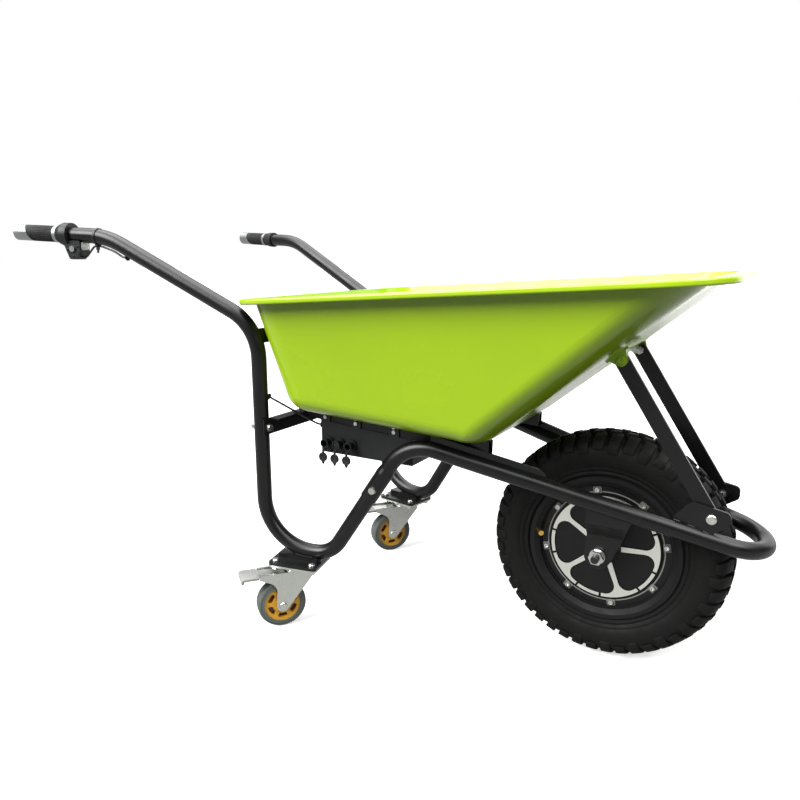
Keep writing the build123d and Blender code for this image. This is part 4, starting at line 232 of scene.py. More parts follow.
def amber_core(joint):
    """Moulded amber nylon, glossy and a little deep, with a painted shade of dark brown on the floors of the
    roller's pockets.
    """
    material, tree, place = new_finish("amber_moulded_nylon_" + joint)
    from_axle = add_node(
        tree, "VectorMath", {1: joint_place(joint)}, {0: place}, operation="SUBTRACT"
    )["Vector"]
    along = add_node(
        tree, "VectorMath", {1: joint_axis(joint)}, {0: from_axle}, operation="DOT_PRODUCT"
    )["Value"]
    along = add_node(tree, "Math", links={0: along}, operation="ABSOLUTE")["Value"]
    # painted shade for the recessed pocket floors: full near the roller's middle plane, fading out further
    # from it
    floor = add_node(
        tree,
        "MapRange",
        {"From Min": POCKET_SHADE_FULL * MM, "From Max": POCKET_SHADE_GONE * MM, "To Min": 1, "To Max": 0},
        {"Value": along},
    )["Result"]
    flow = add_node(tree, "TexNoise", {"Scale": per(FLOW_PATCH), "Detail": 3.0}, {"Vector": place})["Fac"]
    bright = add_node(
        tree,
        "Mix",
        {COLOUR_A: linear("#cf8c0e"), COLOUR_B: linear("#eebb38")},
        {FACTOR: flow},
        data_type="RGBA",
    )[COLOUR_OUT]
    # painted shade: near the middle plane, where the pocket floors lie, the amber turns dark brown
    colour = add_node(
        tree, "Mix", {COLOUR_B: linear("#4a1f08")}, {FACTOR: floor, COLOUR_A: bright}, data_type="RGBA"
    )[COLOUR_OUT]
    roughness = add_node(tree, "MapRange", {"To Min": 0.26, "To Max": 0.44}, {"Value": flow})["Result"]
    bump = add_node(tree, "Bump", {"Strength": 0.5, "Distance": 0.2 * MM}, {"Height": flow})["Normal"]
    shader = add_node(
        tree,
        "BsdfPrincipled",
        {"IOR": 1.53, "Coat Weight": 0.2},
        {"Base Color": colour, "Roughness": roughness, "Normal": bump},
    )["BSDF"]
    add_node(tree, "OutputMaterial", links={"Surface": shader})
    return material


HEADS_BEYOND = 80.6  # from the middle plane (mm), inside the thickness of the green bracket's ears
HEADS_ABOVE = 500
BOLT_PATCH = 9


def painted_over_bolts():
    """Bright zinc bolts; the heads outside the green top bracket took its enamel too."""
    material, tree, place = new_finish("zinc_bolts_with_green_enamel_on_the_top_heads")
    spot = add_node(tree, "SeparateXYZ", links={"Vector": place})
    aside = add_node(tree, "Math", links={0: spot["Y"]}, operation="ABSOLUTE")["Value"]
    outside = add_node(tree, "Math", {1: HEADS_BEYOND * MM}, {0: aside}, operation="GREATER_THAN")["Value"]
    high = add_node(tree, "Math", {1: HEADS_ABOVE * MM}, {0: spot["Z"]}, operation="GREATER_THAN")["Value"]
    painted = add_node(tree, "Math", links={0: outside, 1: high}, operation="MULTIPLY")["Value"]
    patches = add_node(
        tree, "TexNoise", {"Scale": per(BOLT_PATCH), "Detail": 3.0}, {"Vector": place}
    )["Fac"]
    zinc = add_node(
        tree,
        "Mix",
        {COLOUR_A: linear("#b4b6b2"), COLOUR_B: linear("#cccdc8")},
        {FACTOR: patches},
        data_type="RGBA",
    )[COLOUR_OUT]
    colour = add_node(
        tree, "Mix", {COLOUR_B: linear("#a2c610")}, {FACTOR: painted, COLOUR_A: zinc}, data_type="RGBA"
    )[COLOUR_OUT]
    metal_share = add_node(tree, "Math", {0: 1.0}, {1: painted}, operation="SUBTRACT")["Value"]
    roughness = add_node(tree, "MapRange", {"To Min": 0.22, "To Max": 0.38}, {"Value": patches})["Result"]
    shader = add_node(
        tree, "BsdfPrincipled", links={"Base Color": colour, "Metallic": metal_share, "Roughness": roughness}
    )["BSDF"]
    add_node(tree, "OutputMaterial", links={"Surface": shader})
    return material


# Stove enamel over a pressing: sharp even green, a fine orange peel, mirrors bent by the sheet's waves
green_enamel = sprayed_finish(
    "green_stove_enamel_on_pressed_steel", ("#9cc00a", "#a8cc14"), rough=(0.2, 0.32),
    patch_mm=240, peel_mm=5, peel_depth_mm=0.05, wave_mm=150, wave_depth_mm=0.9,
    Specular_IOR_Level=0.35, Coat_Weight=0.25, Coat_Roughness=0.1,
)
# Powder coat: deep black, with a soft line of light along each tube
black_powder_coat = sprayed_finish(
    "black_powder_coat_on_steel_tube", ("#060607", "#0b0b0c"), rough=(0.26, 0.38),
    patch_mm=60, peel_mm=2.6, peel_depth_mm=0.02, Specular_IOR_Level=0.32,
)
# Moulded rubber: dull near black with a grain, so that the blocks show by their edges
tyre_rubber = sprayed_finish(
    "moulded_tyre_rubber", ("#050505", "#0c0c0b"), rough=(0.6, 0.82),
    patch_mm=26, peel_mm=2.2, peel_depth_mm=0.16, Specular_IOR_Level=0.16,
)
# Satin paint: black with a broad, weak highlight
rim_paint = sprayed_finish(
    "satin_black_rim_paint", ("#070708", "#0d0d0e"), rough=(0.55, 0.7),
    patch_mm=30, peel_mm=2, peel_depth_mm=0.04, Specular_IOR_Level=0.2,
)
# Zinc plate: bright cool grey metal, cloudy from place to place
zinc_plate = sprayed_finish(
    "bright_zinc_plated_steel", ("#b4b6b2", "#cccdc8"), rough=(0.24, 0.36),
    patch_mm=22, peel_mm=1.6, peel_depth_mm=0.005, Metallic=1.0,
)
# Anodised aluminium: an even satin grey, darker than the zinc
machined_trim = sprayed_finish(
    "satin_anodised_aluminium", ("#8b8d8e", "#9b9d9e"), rough=(0.34, 0.44),
    patch_mm=26, peel_mm=0.9, peel_depth_mm=0.006, Metallic=1.0,
)
# Black oxide: charcoal metal with a low gleam
blackened_steel = sprayed_finish(
    "black_oxide_on_steel", ("#2a2a2b", "#3a3a3b"), rough=(0.34, 0.5),
    patch_mm=12, peel_mm=1.2, peel_depth_mm=0.02, Metallic=0.8,
)
# Moulded ABS: black with a fine mould grain and a wide soft highlight
black_abs = sprayed_finish(
    "moulded_black_abs", ("#0d0e0f", "#141516"), rough=(0.36, 0.52),
    patch_mm=24, peel_mm=1.4, peel_depth_mm=0.07, Specular_IOR_Level=0.35,
)
# Soft rubber: charcoal and matt, lighter than the tyre
soft_rubber = sprayed_finish(
    "moulded_soft_rubber", ("#151516", "#202021"), rough=(0.6, 0.78),
    patch_mm=15, peel_mm=1.5, peel_depth_mm=0.09, Specular_IOR_Level=0.25,
)
# PVC sheath: black and smooth, with a narrow highlight along the lead
pvc_sheath = sprayed_finish(
    "black_pvc_cable_sheath", ("#0c0c0d", "#141415"), rough=(0.3, 0.46),
    patch_mm=12, peel_mm=1.5, peel_depth_mm=0.03, IOR=1.53,
)
# Caster rubber: mottled grey, matt
grey_caster_rubber = sprayed_finish(
    "grey_caster_rubber", ("#4c524e", "#6a706c"), rough=(0.55, 0.75),
    patch_mm=5, peel_mm=1.6, peel_depth_mm=0.12, IOR=1.52,
)
# Turned brass: warm yellow metal
brass = sprayed_finish(
    "turned_brass", ("#b88f45", "#d9b566"), rough=(0.24, 0.4),
    patch_mm=6, peel_mm=1.2, peel_depth_mm=0.04, Metallic=1.0,
)
# Stacked laminations: brownish grey metal with a coarse grain
lamination_steel = sprayed_finish(
    "stacked_lamination_steel", ("#4d4b49", "#63605c"), rough=(0.4, 0.55),
    patch_mm=8, peel_mm=1.0, peel_depth_mm=0.08, Metallic=1.0,
)
# Nickel plate: warm grey metal, nearly a mirror
nickel_magnet = sprayed_finish(
    "nickel_plated_magnet", ("#8d8c8a", "#a9a8a4"), rough=(0.2, 0.34),
    patch_mm=10, peel_mm=1.4, peel_depth_mm=0.03, Metallic=1.0,
)
# Shrink film: glossy blue with small creases
pack_film = sprayed_finish(
    "blue_shrink_film", ("#123a78", "#1c4c93"), rough=(0.2, 0.36),
    patch_mm=40, peel_mm=4, peel_depth_mm=0.15, IOR=1.5,
)
# Anodised extrusion: light satin metal
controller_shell = sprayed_finish(
    "anodised_aluminium_extrusion", ("#8f9296", "#a7aaad"), rough=(0.32, 0.46),
    patch_mm=30, peel_mm=1.6, peel_depth_mm=0.04, Metallic=1.0,
)
# Natural nylon: greyish white with a waxy sheen
white_nylon = sprayed_finish(
    "natural_white_nylon", ("#8e8f8c", "#a3a4a0"), rough=(0.34, 0.5),
    patch_mm=14, peel_mm=1.6, peel_depth_mm=0.05, IOR=1.53,
)
# Polycarbonate: pale and smooth as glass
pale_window = sprayed_finish(
    "pale_polycarbonate_window", ("#cfd3d4", "#e2e5e6"), rough=(0.12, 0.2),
    patch_mm=20, peel_mm=2, peel_depth_mm=0.02, IOR=1.58, Coat_Weight=0.3,
)
cast_hub = hub_casting()

painted_nodes = (
    (green_enamel, ("tub", "strut_top_bracket")),
    (black_powder_coat, (
        "front_frame_tube", "rear_frame_tube_right", "rear_frame_tube_left", "rear_cross_member", "tub_rails",
        "frame_stiffeners", "dropout_plates", "strut_brackets", "front_struts", "tub_rear_brackets",
        "caster_mount_plates",
    )),
    (tyre_rubber, ("tyre",)),
    (rim_paint, ("hub_rim",)),
    (cast_hub, ("hub_cover_right", "hub_cover_left")),
    (painted_over_bolts(), ("strut_bolts",)),
    (zinc_plate, (
        "tub_bolts", "frame_bolts", "box_screws", "hub_screws", "hub_bearings", "axle_nuts",
        "caster_top_plates", "caster_plate_bolts", "caster_fork_right", "caster_fork_left",
        "caster_axle_right", "caster_axle_left", "caster_pedal_right", "caster_pedal_left", "handlebar_stubs",
    )),
    (blackened_steel, ("motor_axle",)),
    (machined_trim, ("throttle_trim", "left_grip_trim", "reverse_button")),
    (black_abs, (
        "battery_box", "battery_box_lid", "panel_sockets", "throttle_housing", "power_button", "cable_tie",
    )),
    (soft_rubber, (
        "socket_cap_rear", "socket_cap_middle", "socket_cap_front", "throttle_grip", "left_grip",
        "cable_grommets",
    )),
    (pvc_sheath, ("throttle_lead",)),
    (grey_caster_rubber, ("caster_tyre_right", "caster_tyre_left")),
    (amber_core("caster_roll_right"), ("caster_core_right",)),
    (amber_core("caster_roll_left"), ("caster_core_left",)),
    (brass, ("valve_stem",)),
    (lamination_steel, ("motor_stator",)),
    (nickel_magnet, ("magnet_ring",)),
    (pack_film, ("battery_pack",)),
    (controller_shell, ("motor_controller",)),
)
for material, names in painted_nodes:
    for name in names:
        for slot in frame["nodes"][name].material_slots:
            slot.material = material


# Modelling

ABOUT_X = {"center": (0, 0, 0), "axis": (1, 0, 0)}
OUTLINE_MERGE = 0.001  # points of an outline, or of a whole mesh, that lie closer are one (mm)
MESH_MERGE = 0.002


def begin(name):
    """Starts a piece as one vertex at the origin, open in edit mode."""
    bpy.ops.object.select_all(action="DESELECT")
    bpy.ops.mesh.primitive_plane_add(size=MM)
    piece = bpy.context.object
    piece.name = name
    bpy.ops.object.mode_set(mode="EDIT")
    bpy.ops.mesh.merge(type="CENTER")
    return piece


def trace(points):
    """Draws a closed outline from the vertex of a new piece, extruding from point to point (mm)."""
    at = Vector((0, 0, 0))
    for number, point in enumerate([*points, points[0]]):
        step = (Vector(point) - at) * MM
        if number:
            bpy.ops.mesh.extrude_vertices_move(TRANSFORM_OT_translate={"value": step})
        else:
            bpy.ops.transform.translate(value=step)
        at = Vector(point)
    bpy.ops.mesh.select_all(action="SELECT")
    bpy.ops.mesh.remove_doubles(threshold=OUTLINE_MERGE * MM)


def face_outwards():
    """Turns all faces of the piece that is open in edit mode outwards."""
    bpy.ops.mesh.select_all(action="SELECT")
    bpy.ops.mesh.normals_make_consistent(inside=False)


def close_mesh():
    """Merges doubled points, turns all faces outwards and leaves edit mode."""
    bpy.ops.mesh.select_all(action="SELECT")
    bpy.ops.mesh.remove_doubles(threshold=MESH_MERGE * MM)
    face_outwards()
    bpy.ops.object.mode_set(mode="OBJECT")


def round_edges(radius_mm, segments, sharper_than=40):
    """Bevels the sharp edges of the piece that is open in edit mode."""
    bpy.ops.mesh.select_mode(type="EDGE")
    bpy.ops.mesh.select_all(action="DESELECT")
    bpy.ops.mesh.edges_select_sharp(sharpness=radians(sharper_than))
    bpy.ops.mesh.bevel(offset=radius_mm * MM, segments=segments, affect="EDGES", clamp_overlap=True)
    bpy.ops.mesh.select_mode(type="VERT")


def mirrored(section):
    """The points of half a section on its other side, in the order that carries the outline on."""
    return [(-along, radius) for along, radius in reversed(section)]


def turned(name, section, steps):
    """A ring turned about X from a closed section of (along, radius) points in mm."""
    piece = begin(name)
    trace([(along, 0, radius) for along, radius in section])
    bpy.ops.mesh.spin(steps=steps, angle=tau, **ABOUT_X)
    close_mesh()
    return piece


def wedge(name, section, turn, steps=1):
    """A closed section of (along, radius) points in mm turned a little way about X, open in edit mode."""
    piece = begin(name)
    trace([(along, 0, radius) for along, radius in section])
    bpy.ops.mesh.edge_face_add()
    bpy.ops.mesh.spin(steps=steps, angle=turn, **ABOUT_X)
    face_outwards()
    return piece


def slab(name, outline, rise_mm, edge_mm, segments=2):
    """A flat piece cut to a closed outline of points (mm), thickened along a vector, with rounded edges."""
    piece = begin(name)
    trace(outline)
    bpy.ops.mesh.edge_face_add()
    bpy.ops.mesh.extrude_region_move(TRANSFORM_OT_translate={"value": Vector(rise_mm) * MM})
    face_outwards()
    round_edges(edge_mm, segments)
    close_mesh()
    return piece


def ring_copies(count):
    """Copies the piece that is open in edit mode round the X axis."""
    bpy.ops.mesh.select_all(action="SELECT")
    bpy.ops.mesh.spin(steps=count - 1, angle=tau * (count - 1) / count, dupli=True, **ABOUT_X)


def put(piece, matrix):
    """Moves a piece to its place and leaves that place in its mesh."""
    bpy.ops.object.select_all(action="DESELECT")
    piece.select_set(True)
    bpy.context.view_layer.objects.active = piece
    piece.matrix_world = matrix
    bpy.ops.object.transform_apply(location=True, rotation=True, scale=True)


def joined(name, pieces):
    """Joins pieces of one material into one."""
    bpy.ops.object.select_all(action="DESELECT")
    for piece in pieces:
        piece.select_set(True)
    bpy.context.view_layer.objects.active = pieces[0]
    bpy.ops.object.join()
    pieces[0].name = name
    return pieces[0]


def finished(piece, material, body, slot, *nodes):
    """Gives a piece its smooth faces, its finish and the body that it rides on."""
    bpy.ops.object.select_all(action="DESELECT")
    piece.select_set(True)
    bpy.context.view_layer.objects.active = piece
    bpy.ops.object.shade_smooth_by_angle(angle=SMOOTH_BELOW)
    piece.data.materials.clear()
    piece.data.materials.append(material)
    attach(piece, body)
    if nodes:
        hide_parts(*nodes)
    return piece


# Tyre with its blocks, in places along the axle and out from it (mm)

TREAD_PITCHES = 46
TREAD_EDGE_SEGMENTS = 2
TYRE_FACETS = TREAD_PITCHES * 3
LUG_LENGTH = 20
LUG_FACETS = 3
LUG_EDGE_R = 1.3
BLOCK_TOP = 217.6
BLOCK_TALL = 13
BLOCK_TAPER = (0.9, 0.88, 1)  # size of a block's top against its foot
BLOCK_EDGE_R = 1.2
pitch_turn = tau / TREAD_PITCHES
sidewall = [
    (38.3, 128.2), (38.3, 139.8), (40.6, 141.2), (42.8, 142.6), (43.8, 145), (43.4, 147.6), (42.6, 148.6),
    (43.2, 149.8), (45.4, 151.6), (46.6, 154.6), (46.3, 157), (47.2, 158.2), (49.2, 162.5), (50.4, 168),
    (50.9, 174), (50.9, 180), (50, 187), (47.6, 193), (43, 198.6), (35, 203), (24, 206), (10, 207.6),
]
casing = [(38, 195), (43, 175), (29.3, 142), (27.3, 128.2)]
carcass_section = sidewall + mirrored(sidewall) + mirrored(casing) + casing
shoulder_top = [(17, 215.8), (30, 212.4), (40, 208.2), (46.6, 204), (50.2, 198), (51.6, 191)]
lug_root = [(46, 196), (38, 201), (16, 205)]
long_lug = shoulder_top + [(51.9, 183), (49.5, 182)] + lug_root
short_lug = shoulder_top + [(49.5, 190)] + lug_root
block_plan = [(1.6, -9.5), (15.5, -6), (15.5, 12), (8, 12.5), (1.6, 9)]
wheel_frame = Matrix.Translation(wheel_centre) @ Matrix.Rotation(pi / 2, 4, "Z")


def tread_ring(piece, edge_mm, count, first_turn):
    """Rounds the block that is open in edit mode, repeats it round the tyre and turns the ring."""
    round_edges(edge_mm, TREAD_EDGE_SEGMENTS)
    ring_copies(count)
    close_mesh()
    put(piece, Matrix.Rotation(first_turn, 4, "X"))
    return piece


def shoulder_lugs(name, section, side, first_turn):
    """Every second shoulder lug of one side, a turned wedge with rounded edges."""
    sided = [(along * side, radius) for along, radius in section]
    lug = wedge(name, sided, LUG_LENGTH / section[0][1], LUG_FACETS)
    return tread_ring(lug, LUG_EDGE_R, TREAD_PITCHES // 2, first_turn)


def crown_blocks(name, side, first_turn):
    """One row of slanted blocks beside the middle groove."""
    block = begin(name)
    trace([(along * side, across, BLOCK_TOP - BLOCK_TALL) for along, across in block_plan])
    bpy.ops.mesh.edge_face_add()
    bpy.ops.mesh.extrude_region_move(TRANSFORM_OT_translate={"value": (0, 0, BLOCK_TALL * MM)})
    bpy.ops.transform.resize(value=BLOCK_TAPER)
    face_outwards()
    return tread_ring(block, BLOCK_EDGE_R, TREAD_PITCHES, first_turn)


tyre_pieces = [turned("tyre_carcass", carcass_section, TYRE_FACETS)]
for side, lead in ((1, 0), (-1, 0.5)):
    tyre_pieces.append(shoulder_lugs("long_lugs", long_lug, side, pitch_turn * lead))
    tyre_pieces.append(shoulder_lugs("short_lugs", short_lug, side, pitch_turn * (lead + 1)))
    tyre_pieces.append(crown_blocks("crown_blocks", side, pitch_turn * (lead + 0.5)))
knobbly_tyre = joined("knobbly_tyre", tyre_pieces)
put(knobbly_tyre, wheel_frame)
finished(knobbly_tyre, tyre_rubber, "wheel", "tyre_rubber", "tyre")


# Caster tyres with fine ribs across the tread

CASTER_R = 50
CASTER_EDGE_R = 7
CASTER_HALF = 16
CASTER_CORE_R = 37
CORE_GAP = 0.1
CASTER_FACETS = 96
CASTER_RIBS = 64
RIB_UP = 0.8
RIB_SHARE = 0.6  # of the way from rib to rib
edge_turns = [radians(turn) for turn in range(90, -1, -15)]
corner = [
    (CASTER_HALF + CASTER_EDGE_R * (sin(turn) - 1), CASTER_R + CASTER_EDGE_R * (cos(turn) - 1))
    for turn in edge_turns
]
caster_section = [(CASTER_HALF, CASTER_CORE_R + CORE_GAP)]
caster_section += [(along - RIB_UP, radius - RIB_UP) for along, radius in corner]
caster_section += mirrored(caster_section)
rib_top = corner[1:]
rib_root = [(-14, 45), (-8, 48), (8, 48), (14, 45)]
rib_section = rib_top + mirrored(rib_top) + rib_root


def caster_tyre(name):
    """A round-shouldered rubber ring with low ribs across its tread."""
    ring = turned(name, caster_section, CASTER_FACETS)
    rib = wedge("tread_ribs", rib_section, tau / CASTER_RIBS * RIB_SHARE)
    ring_copies(CASTER_RIBS)
    close_mesh()
    return joined(name, [ring, rib])


for side in ("right", "left"):
    roll = "caster_roll_" + side
    along = joint_axis(roll)
    ribbed = caster_tyre("ribbed_caster_tyre_" + side)
    put(ribbed, Matrix.Translation(joint_place(roll)) @ Matrix.Rotation(atan2(along.y, along.x), 4, "Z"))
    finished(ribbed, grey_caster_rubber, "roller_" + side, "grey_rubber", "caster_tyre_" + side)


# Ribbed grips, in places along the handle from the tube's end and out from its middle (mm)

GRIP_R = 16
GRIP_FACETS = 72
JOINT_MIDDLE = 106  # where the rubber meets the bright end piece, on the slant
JOINT_LEAN = radians(26.565)
JOINT_REACH = 1  # points this near to the joint belong to it
GRIP_RIBS = 28
GRIP_RIB_SHARE = 0.55  # of the way from rib to rib
GRIP_RIB_EDGE_R = 0.35
sleeve_end = [
    (31.4, 14), (39.8, 14), (39.8, 15.4), (40.4, 16), (42.4, 16), (42.9, 15.6), (94.4, 15.6), (94.9, 16),
    (JOINT_MIDDLE, GRIP_R), (JOINT_MIDDLE, 12),
]
throttle_sleeve = [
    (17.6, 12), (17.6, 20.7), (18.4, 21.5), (20.8, 21.5), (21.4, 20.7), (22.2, 20.7), (22.8, 21.1),
    (24.4, 20.6), (26.6, 19), (28.8, 17.2), (31.4, 15.6),
]
plain_sleeve = [
    (0.5, 12), (0.5, 18.2), (1.3, 19), (13.5, 19), (15.2, 18.8), (20, 17.9), (26, 16.5), (31.4, 15.6),
]
grip_rib = [(44, 15.2), (45.2, 16), (47, 16.2), (90.6, 16.2), (92.4, 16), (93.6, 15.2)]


def grip_frame(side):
    """The axes of a handle: X outwards along the grip, Z up. The left one mirrors the right one."""
    flip = Vector((1, side, 1))
    origin = joint_place("throttle_twist") * flip
    run = -joint_axis("throttle_twist") * flip
    up = (Vector((0, 0, 1)) - run * run.z).normalized()
    across = up.cross(run)
    return Matrix.Translation(origin) @ Matrix((run, across, up)).transposed().to_4x4()


def select_points(piece, test):
    """Selects the points of the open piece that pass a test of their place in mm."""
    bpy.ops.mesh.select_mode(type="VERT")
    bpy.ops.mesh.select_all(action="DESELECT")
    bpy.ops.object.mode_set(mode="OBJECT")
    for point in piece.data.vertices:
        point.select = test(point.co / MM)
    bpy.ops.object.mode_set(mode="EDIT")


def ribbed_grip(name, sleeve):
    """A turned rubber sleeve with lengthwise ribs and an end cut on the slant."""
    piece = turned(name, sleeve + sleeve_end, GRIP_FACETS)
    bpy.ops.object.mode_set(mode="EDIT")
    select_points(piece, lambda at: at.x > JOINT_MIDDLE - JOINT_REACH)
    joint_centre = (JOINT_MIDDLE * MM, 0, 0)
    bpy.ops.transform.resize(value=(1, 1, 1 / cos(JOINT_LEAN)), center_override=joint_centre)
    bpy.ops.transform.rotate(value=-JOINT_LEAN, orient_axis="Y", center_override=joint_centre)
    bpy.ops.object.mode_set(mode="OBJECT")
    rib = wedge("grip_ribs", grip_rib, tau / GRIP_RIBS * GRIP_RIB_SHARE)
    round_edges(GRIP_RIB_EDGE_R, 1)
    ring_copies(GRIP_RIBS)
    close_mesh()
    return joined(name, [piece, rib])


for name, side, sleeve, body, node in (
    ("ribbed_throttle_grip", 1, throttle_sleeve, "throttle", "throttle_grip"),
    ("ribbed_left_grip", -1, plain_sleeve, "frame", "left_grip"),
):
    grip = ribbed_grip(name, sleeve)
    put(grip, grip_frame(side))
    finished(grip, soft_rubber, body, "black_rubber", node)


# Throttle housing: its pale window and the screws of its halves, in the axes of the right handle (mm)

HOUSING_HALF = 14.5
WINDOW_FRONT = -28
WINDOW_LOW = -29
WINDOW_TALL = 16
WINDOW_HALF = 10.5
WINDOW_CORNER_R = 4
WINDOW_T = 2.6
WINDOW_SUNK = 0.4
WINDOW_EDGE_R = 0.9
SCREW_SPOTS = ((-23, -22), (2.5, -29), (-12, -42))
SCREW_R = 2.6
SCREW_FACETS = 20
RECESS_FLOOR = 1
BLADE_HALF = 1.7
BLADE_HALF_T = 0.35
BLADE_TALL = 2
BLADE_EDGE_R = 0.05
screw_head = [
    (0, -0.6), (SCREW_R, -0.6), (SCREW_R, 0.5), (SCREW_R - 0.5, 1.3), (SCREW_R - 1.4, 1.7), (0, 1.8),
]


def rounded_rectangle(half_wide, low, high, radius):
    """Points of a rectangle with round corners, as (across, up)."""
    corners = (
        (half_wide - radius, high - radius, 0), (radius - half_wide, high - radius, 90),
        (radius - half_wide, low + radius, 180), (half_wide - radius, low + radius, 270),
    )
    return [
        (x + radius * cos(radians(start + turn)), y + radius * sin(radians(start + turn)))
        for x, y, start in corners
        for turn in (0, 30, 60, 90)
    ]


window_outline = rounded_rectangle(WINDOW_HALF, WINDOW_LOW, WINDOW_LOW + WINDOW_TALL, WINDOW_CORNER_R)
window = slab(
    "throttle_window",
    [(WINDOW_FRONT + WINDOW_SUNK, across, up) for across, up in window_outline],
    (-WINDOW_T - WINDOW_SUNK, 0, 0),
    WINDOW_EDGE_R,
)
put(window, grip_frame(1))
finished(window, pale_window, "frame", "black_plastic")


def pan_screw(name):
    """A small round-headed screw along Z with a cross recess, its seat at the origin."""
    piece = begin(name)
    trace([(radius, 0, up) for radius, up in screw_head])
    bpy.ops.mesh.spin(steps=SCREW_FACETS, angle=tau, center=(0, 0, 0), axis=(0, 0, 1))
    close_mesh()
    blade_plan = [
        (x * BLADE_HALF, y * BLADE_HALF_T, RECESS_FLOOR) for x, y in ((-1, -1), (1, -1), (1, 1), (-1, 1))
    ]
    for turn in (0, pi / 2):
        blade = slab("blade", blade_plan, (0, 0, BLADE_TALL), BLADE_EDGE_R, 1)
        blade.rotation_euler.z = turn
        cut = piece.modifiers.new("cross_recess", "BOOLEAN")
        cut.operation = "DIFFERENCE"
        cut.object = blade
        bpy.ops.object.select_all(action="DESELECT")
        bpy.context.view_layer.objects.active = piece
        bpy.ops.object.modifier_apply(modifier=cut.name)
        bpy.data.objects.remove(blade)
    return piece


housing_screws = []
for along, up in SCREW_SPOTS:
    screw = pan_screw("housing_screw")
    seat = Matrix.Translation(Vector((along, HOUSING_HALF, up)) * MM) @ Matrix.Rotation(-pi / 2, 4, "X")
    put(screw, grip_frame(1) @ seat)
    housing_screws.append(screw)
finished(joined("housing_screws", housing_screws), blackened_steel, "frame", "zinc_steel")


# Pale covers on the brake pedals, in places along the caster's trail from its swivel (mm)

PEDAL_Z = 115.1  # underside of the pedal's sheet
TIP_WIDE = 48
TIP_EDGE_R = 1.8
TIP_EDGE_SEGMENTS = 3
BAR_PLACES = (93, 99, 105, 111, 117)
BAR_HALF = 19
BAR_WIDE = 2
BAR_FOOT = 4
BAR_TALL = 1.2
BAR_EDGE_R = 0.5
tip_outline = [
    (88, -1.4), (88, 4.6), (119, 4.8), (123, 3.2), (124.6, 0.4), (124.6, -7.2), (119, -7.2), (118.4, -1.4),
]


def caster_frame(side):
    """A caster's axes: X the way it trails, Y along its axle, Z up from the floor."""
    swivel = joint_place("caster_swivel_" + side)
    axle = joint_axis("caster_roll_" + side)
    trail = axle.cross(Vector((0, 0, 1)))
    axes = Matrix((trail, axle, (0, 0, 1))).transposed().to_4x4()
    return Matrix.Translation((swivel.x, swivel.y, 0)) @ axes


def tip_bar(along):
    """A low bar across the top of a pedal cover, for the shoe to grip."""
    plan = [
        (along, BAR_HALF), (along + BAR_WIDE, BAR_HALF), (along + BAR_WIDE, -BAR_HALF), (along, -BAR_HALF),
    ]
    return slab("tip_bar", [(x, y, PEDAL_Z + BAR_FOOT) for x, y in plan], (0, 0, BAR_TALL), BAR_EDGE_R)


for side in ("right", "left"):
    cover = slab(
        "pedal_tip_" + side,
        [(along, -TIP_WIDE / 2, PEDAL_Z + up) for along, up in tip_outline],
        (0, TIP_WIDE, 0),
        TIP_EDGE_R,
        TIP_EDGE_SEGMENTS,
    )
    tip = joined("pedal_tip_" + side, [cover] + [tip_bar(along) for along in BAR_PLACES])
    put(tip, caster_frame(side))
    finished(tip, white_nylon, "pedal_" + side, "black_plastic")


# Weld beads under the paint

BEAD_R = 2.4
BEAD_STEP = 1.2
BEAD_WAIST = 0.8  # size of every second ripple, and of the ends, against the full ones
BEAD_END = 0.4
bead_turns = [radians(turn) for turn in range(0, 360, 30)]


def weld_bead(name, points):
    """A rippled bead laid along points (mm): a round section pulled on from ripple to ripple."""
    piece = begin(name)
    size = BEAD_R * BEAD_END
    trace([Vector(points[0]) + Vector((0, cos(turn), sin(turn))) * size for turn in bead_turns])
    bpy.ops.mesh.edge_face_add()
    for number, (last, point) in enumerate(zip(points, points[1:])):
        step = (Vector(point) - Vector(last)) * MM
        bpy.ops.mesh.extrude_region_move(TRANSFORM_OT_translate={"value": step})
        ripple = BEAD_WAIST if number % 2 else 1.0
        next_size = BEAD_R * (BEAD_END if number == len(points) - 2 else ripple)
        bpy.ops.transform.resize(value=(1, next_size / size, next_size / size))
        size = next_size
    close_mesh()
    return piece


FRONT_TUBE_R = 15
FRONT_TUBE_OUT = 110.9  # the tube's centre line beside the axle
FRONT_TUBE_Z = 328
FRONT_TUBE_IN = 0.205  # it closes in on the middle, and falls, per mm ahead of the axle
FRONT_TUBE_DROP = 0.237
BRACKET_FACE = 82.5
TACKS_AHEAD = (118, 141, 164)
TACK_STEPS = 12
tube_beside_axle = Vector((wheel_centre.x / MM, FRONT_TUBE_OUT, FRONT_TUBE_Z))


def on_front_tube(ahead, out):
    """Place on top of the front tube, ahead of the axle, where a plate's outer face stands on it."""
    centre = tube_beside_axle + Vector((ahead, -FRONT_TUBE_IN * ahead, -FRONT_TUBE_DROP * ahead))
    off = out - centre.y
    return Vector((centre.x, out, centre.z + (FRONT_TUBE_R**2 - off**2) ** 0.5))


tacks = []
for side in (-1, 1):
    for ahead in TACKS_AHEAD:
        line = [on_front_tube(ahead + BEAD_STEP * step, BRACKET_FACE) for step in range(TACK_STEPS)]
        tacks.append(weld_bead("bracket_tack", [(at.x, side * at.y, at.z) for at in line]))
finished(joined("strut_bracket_welds", tacks), black_powder_coat, "frame", "black_paint")

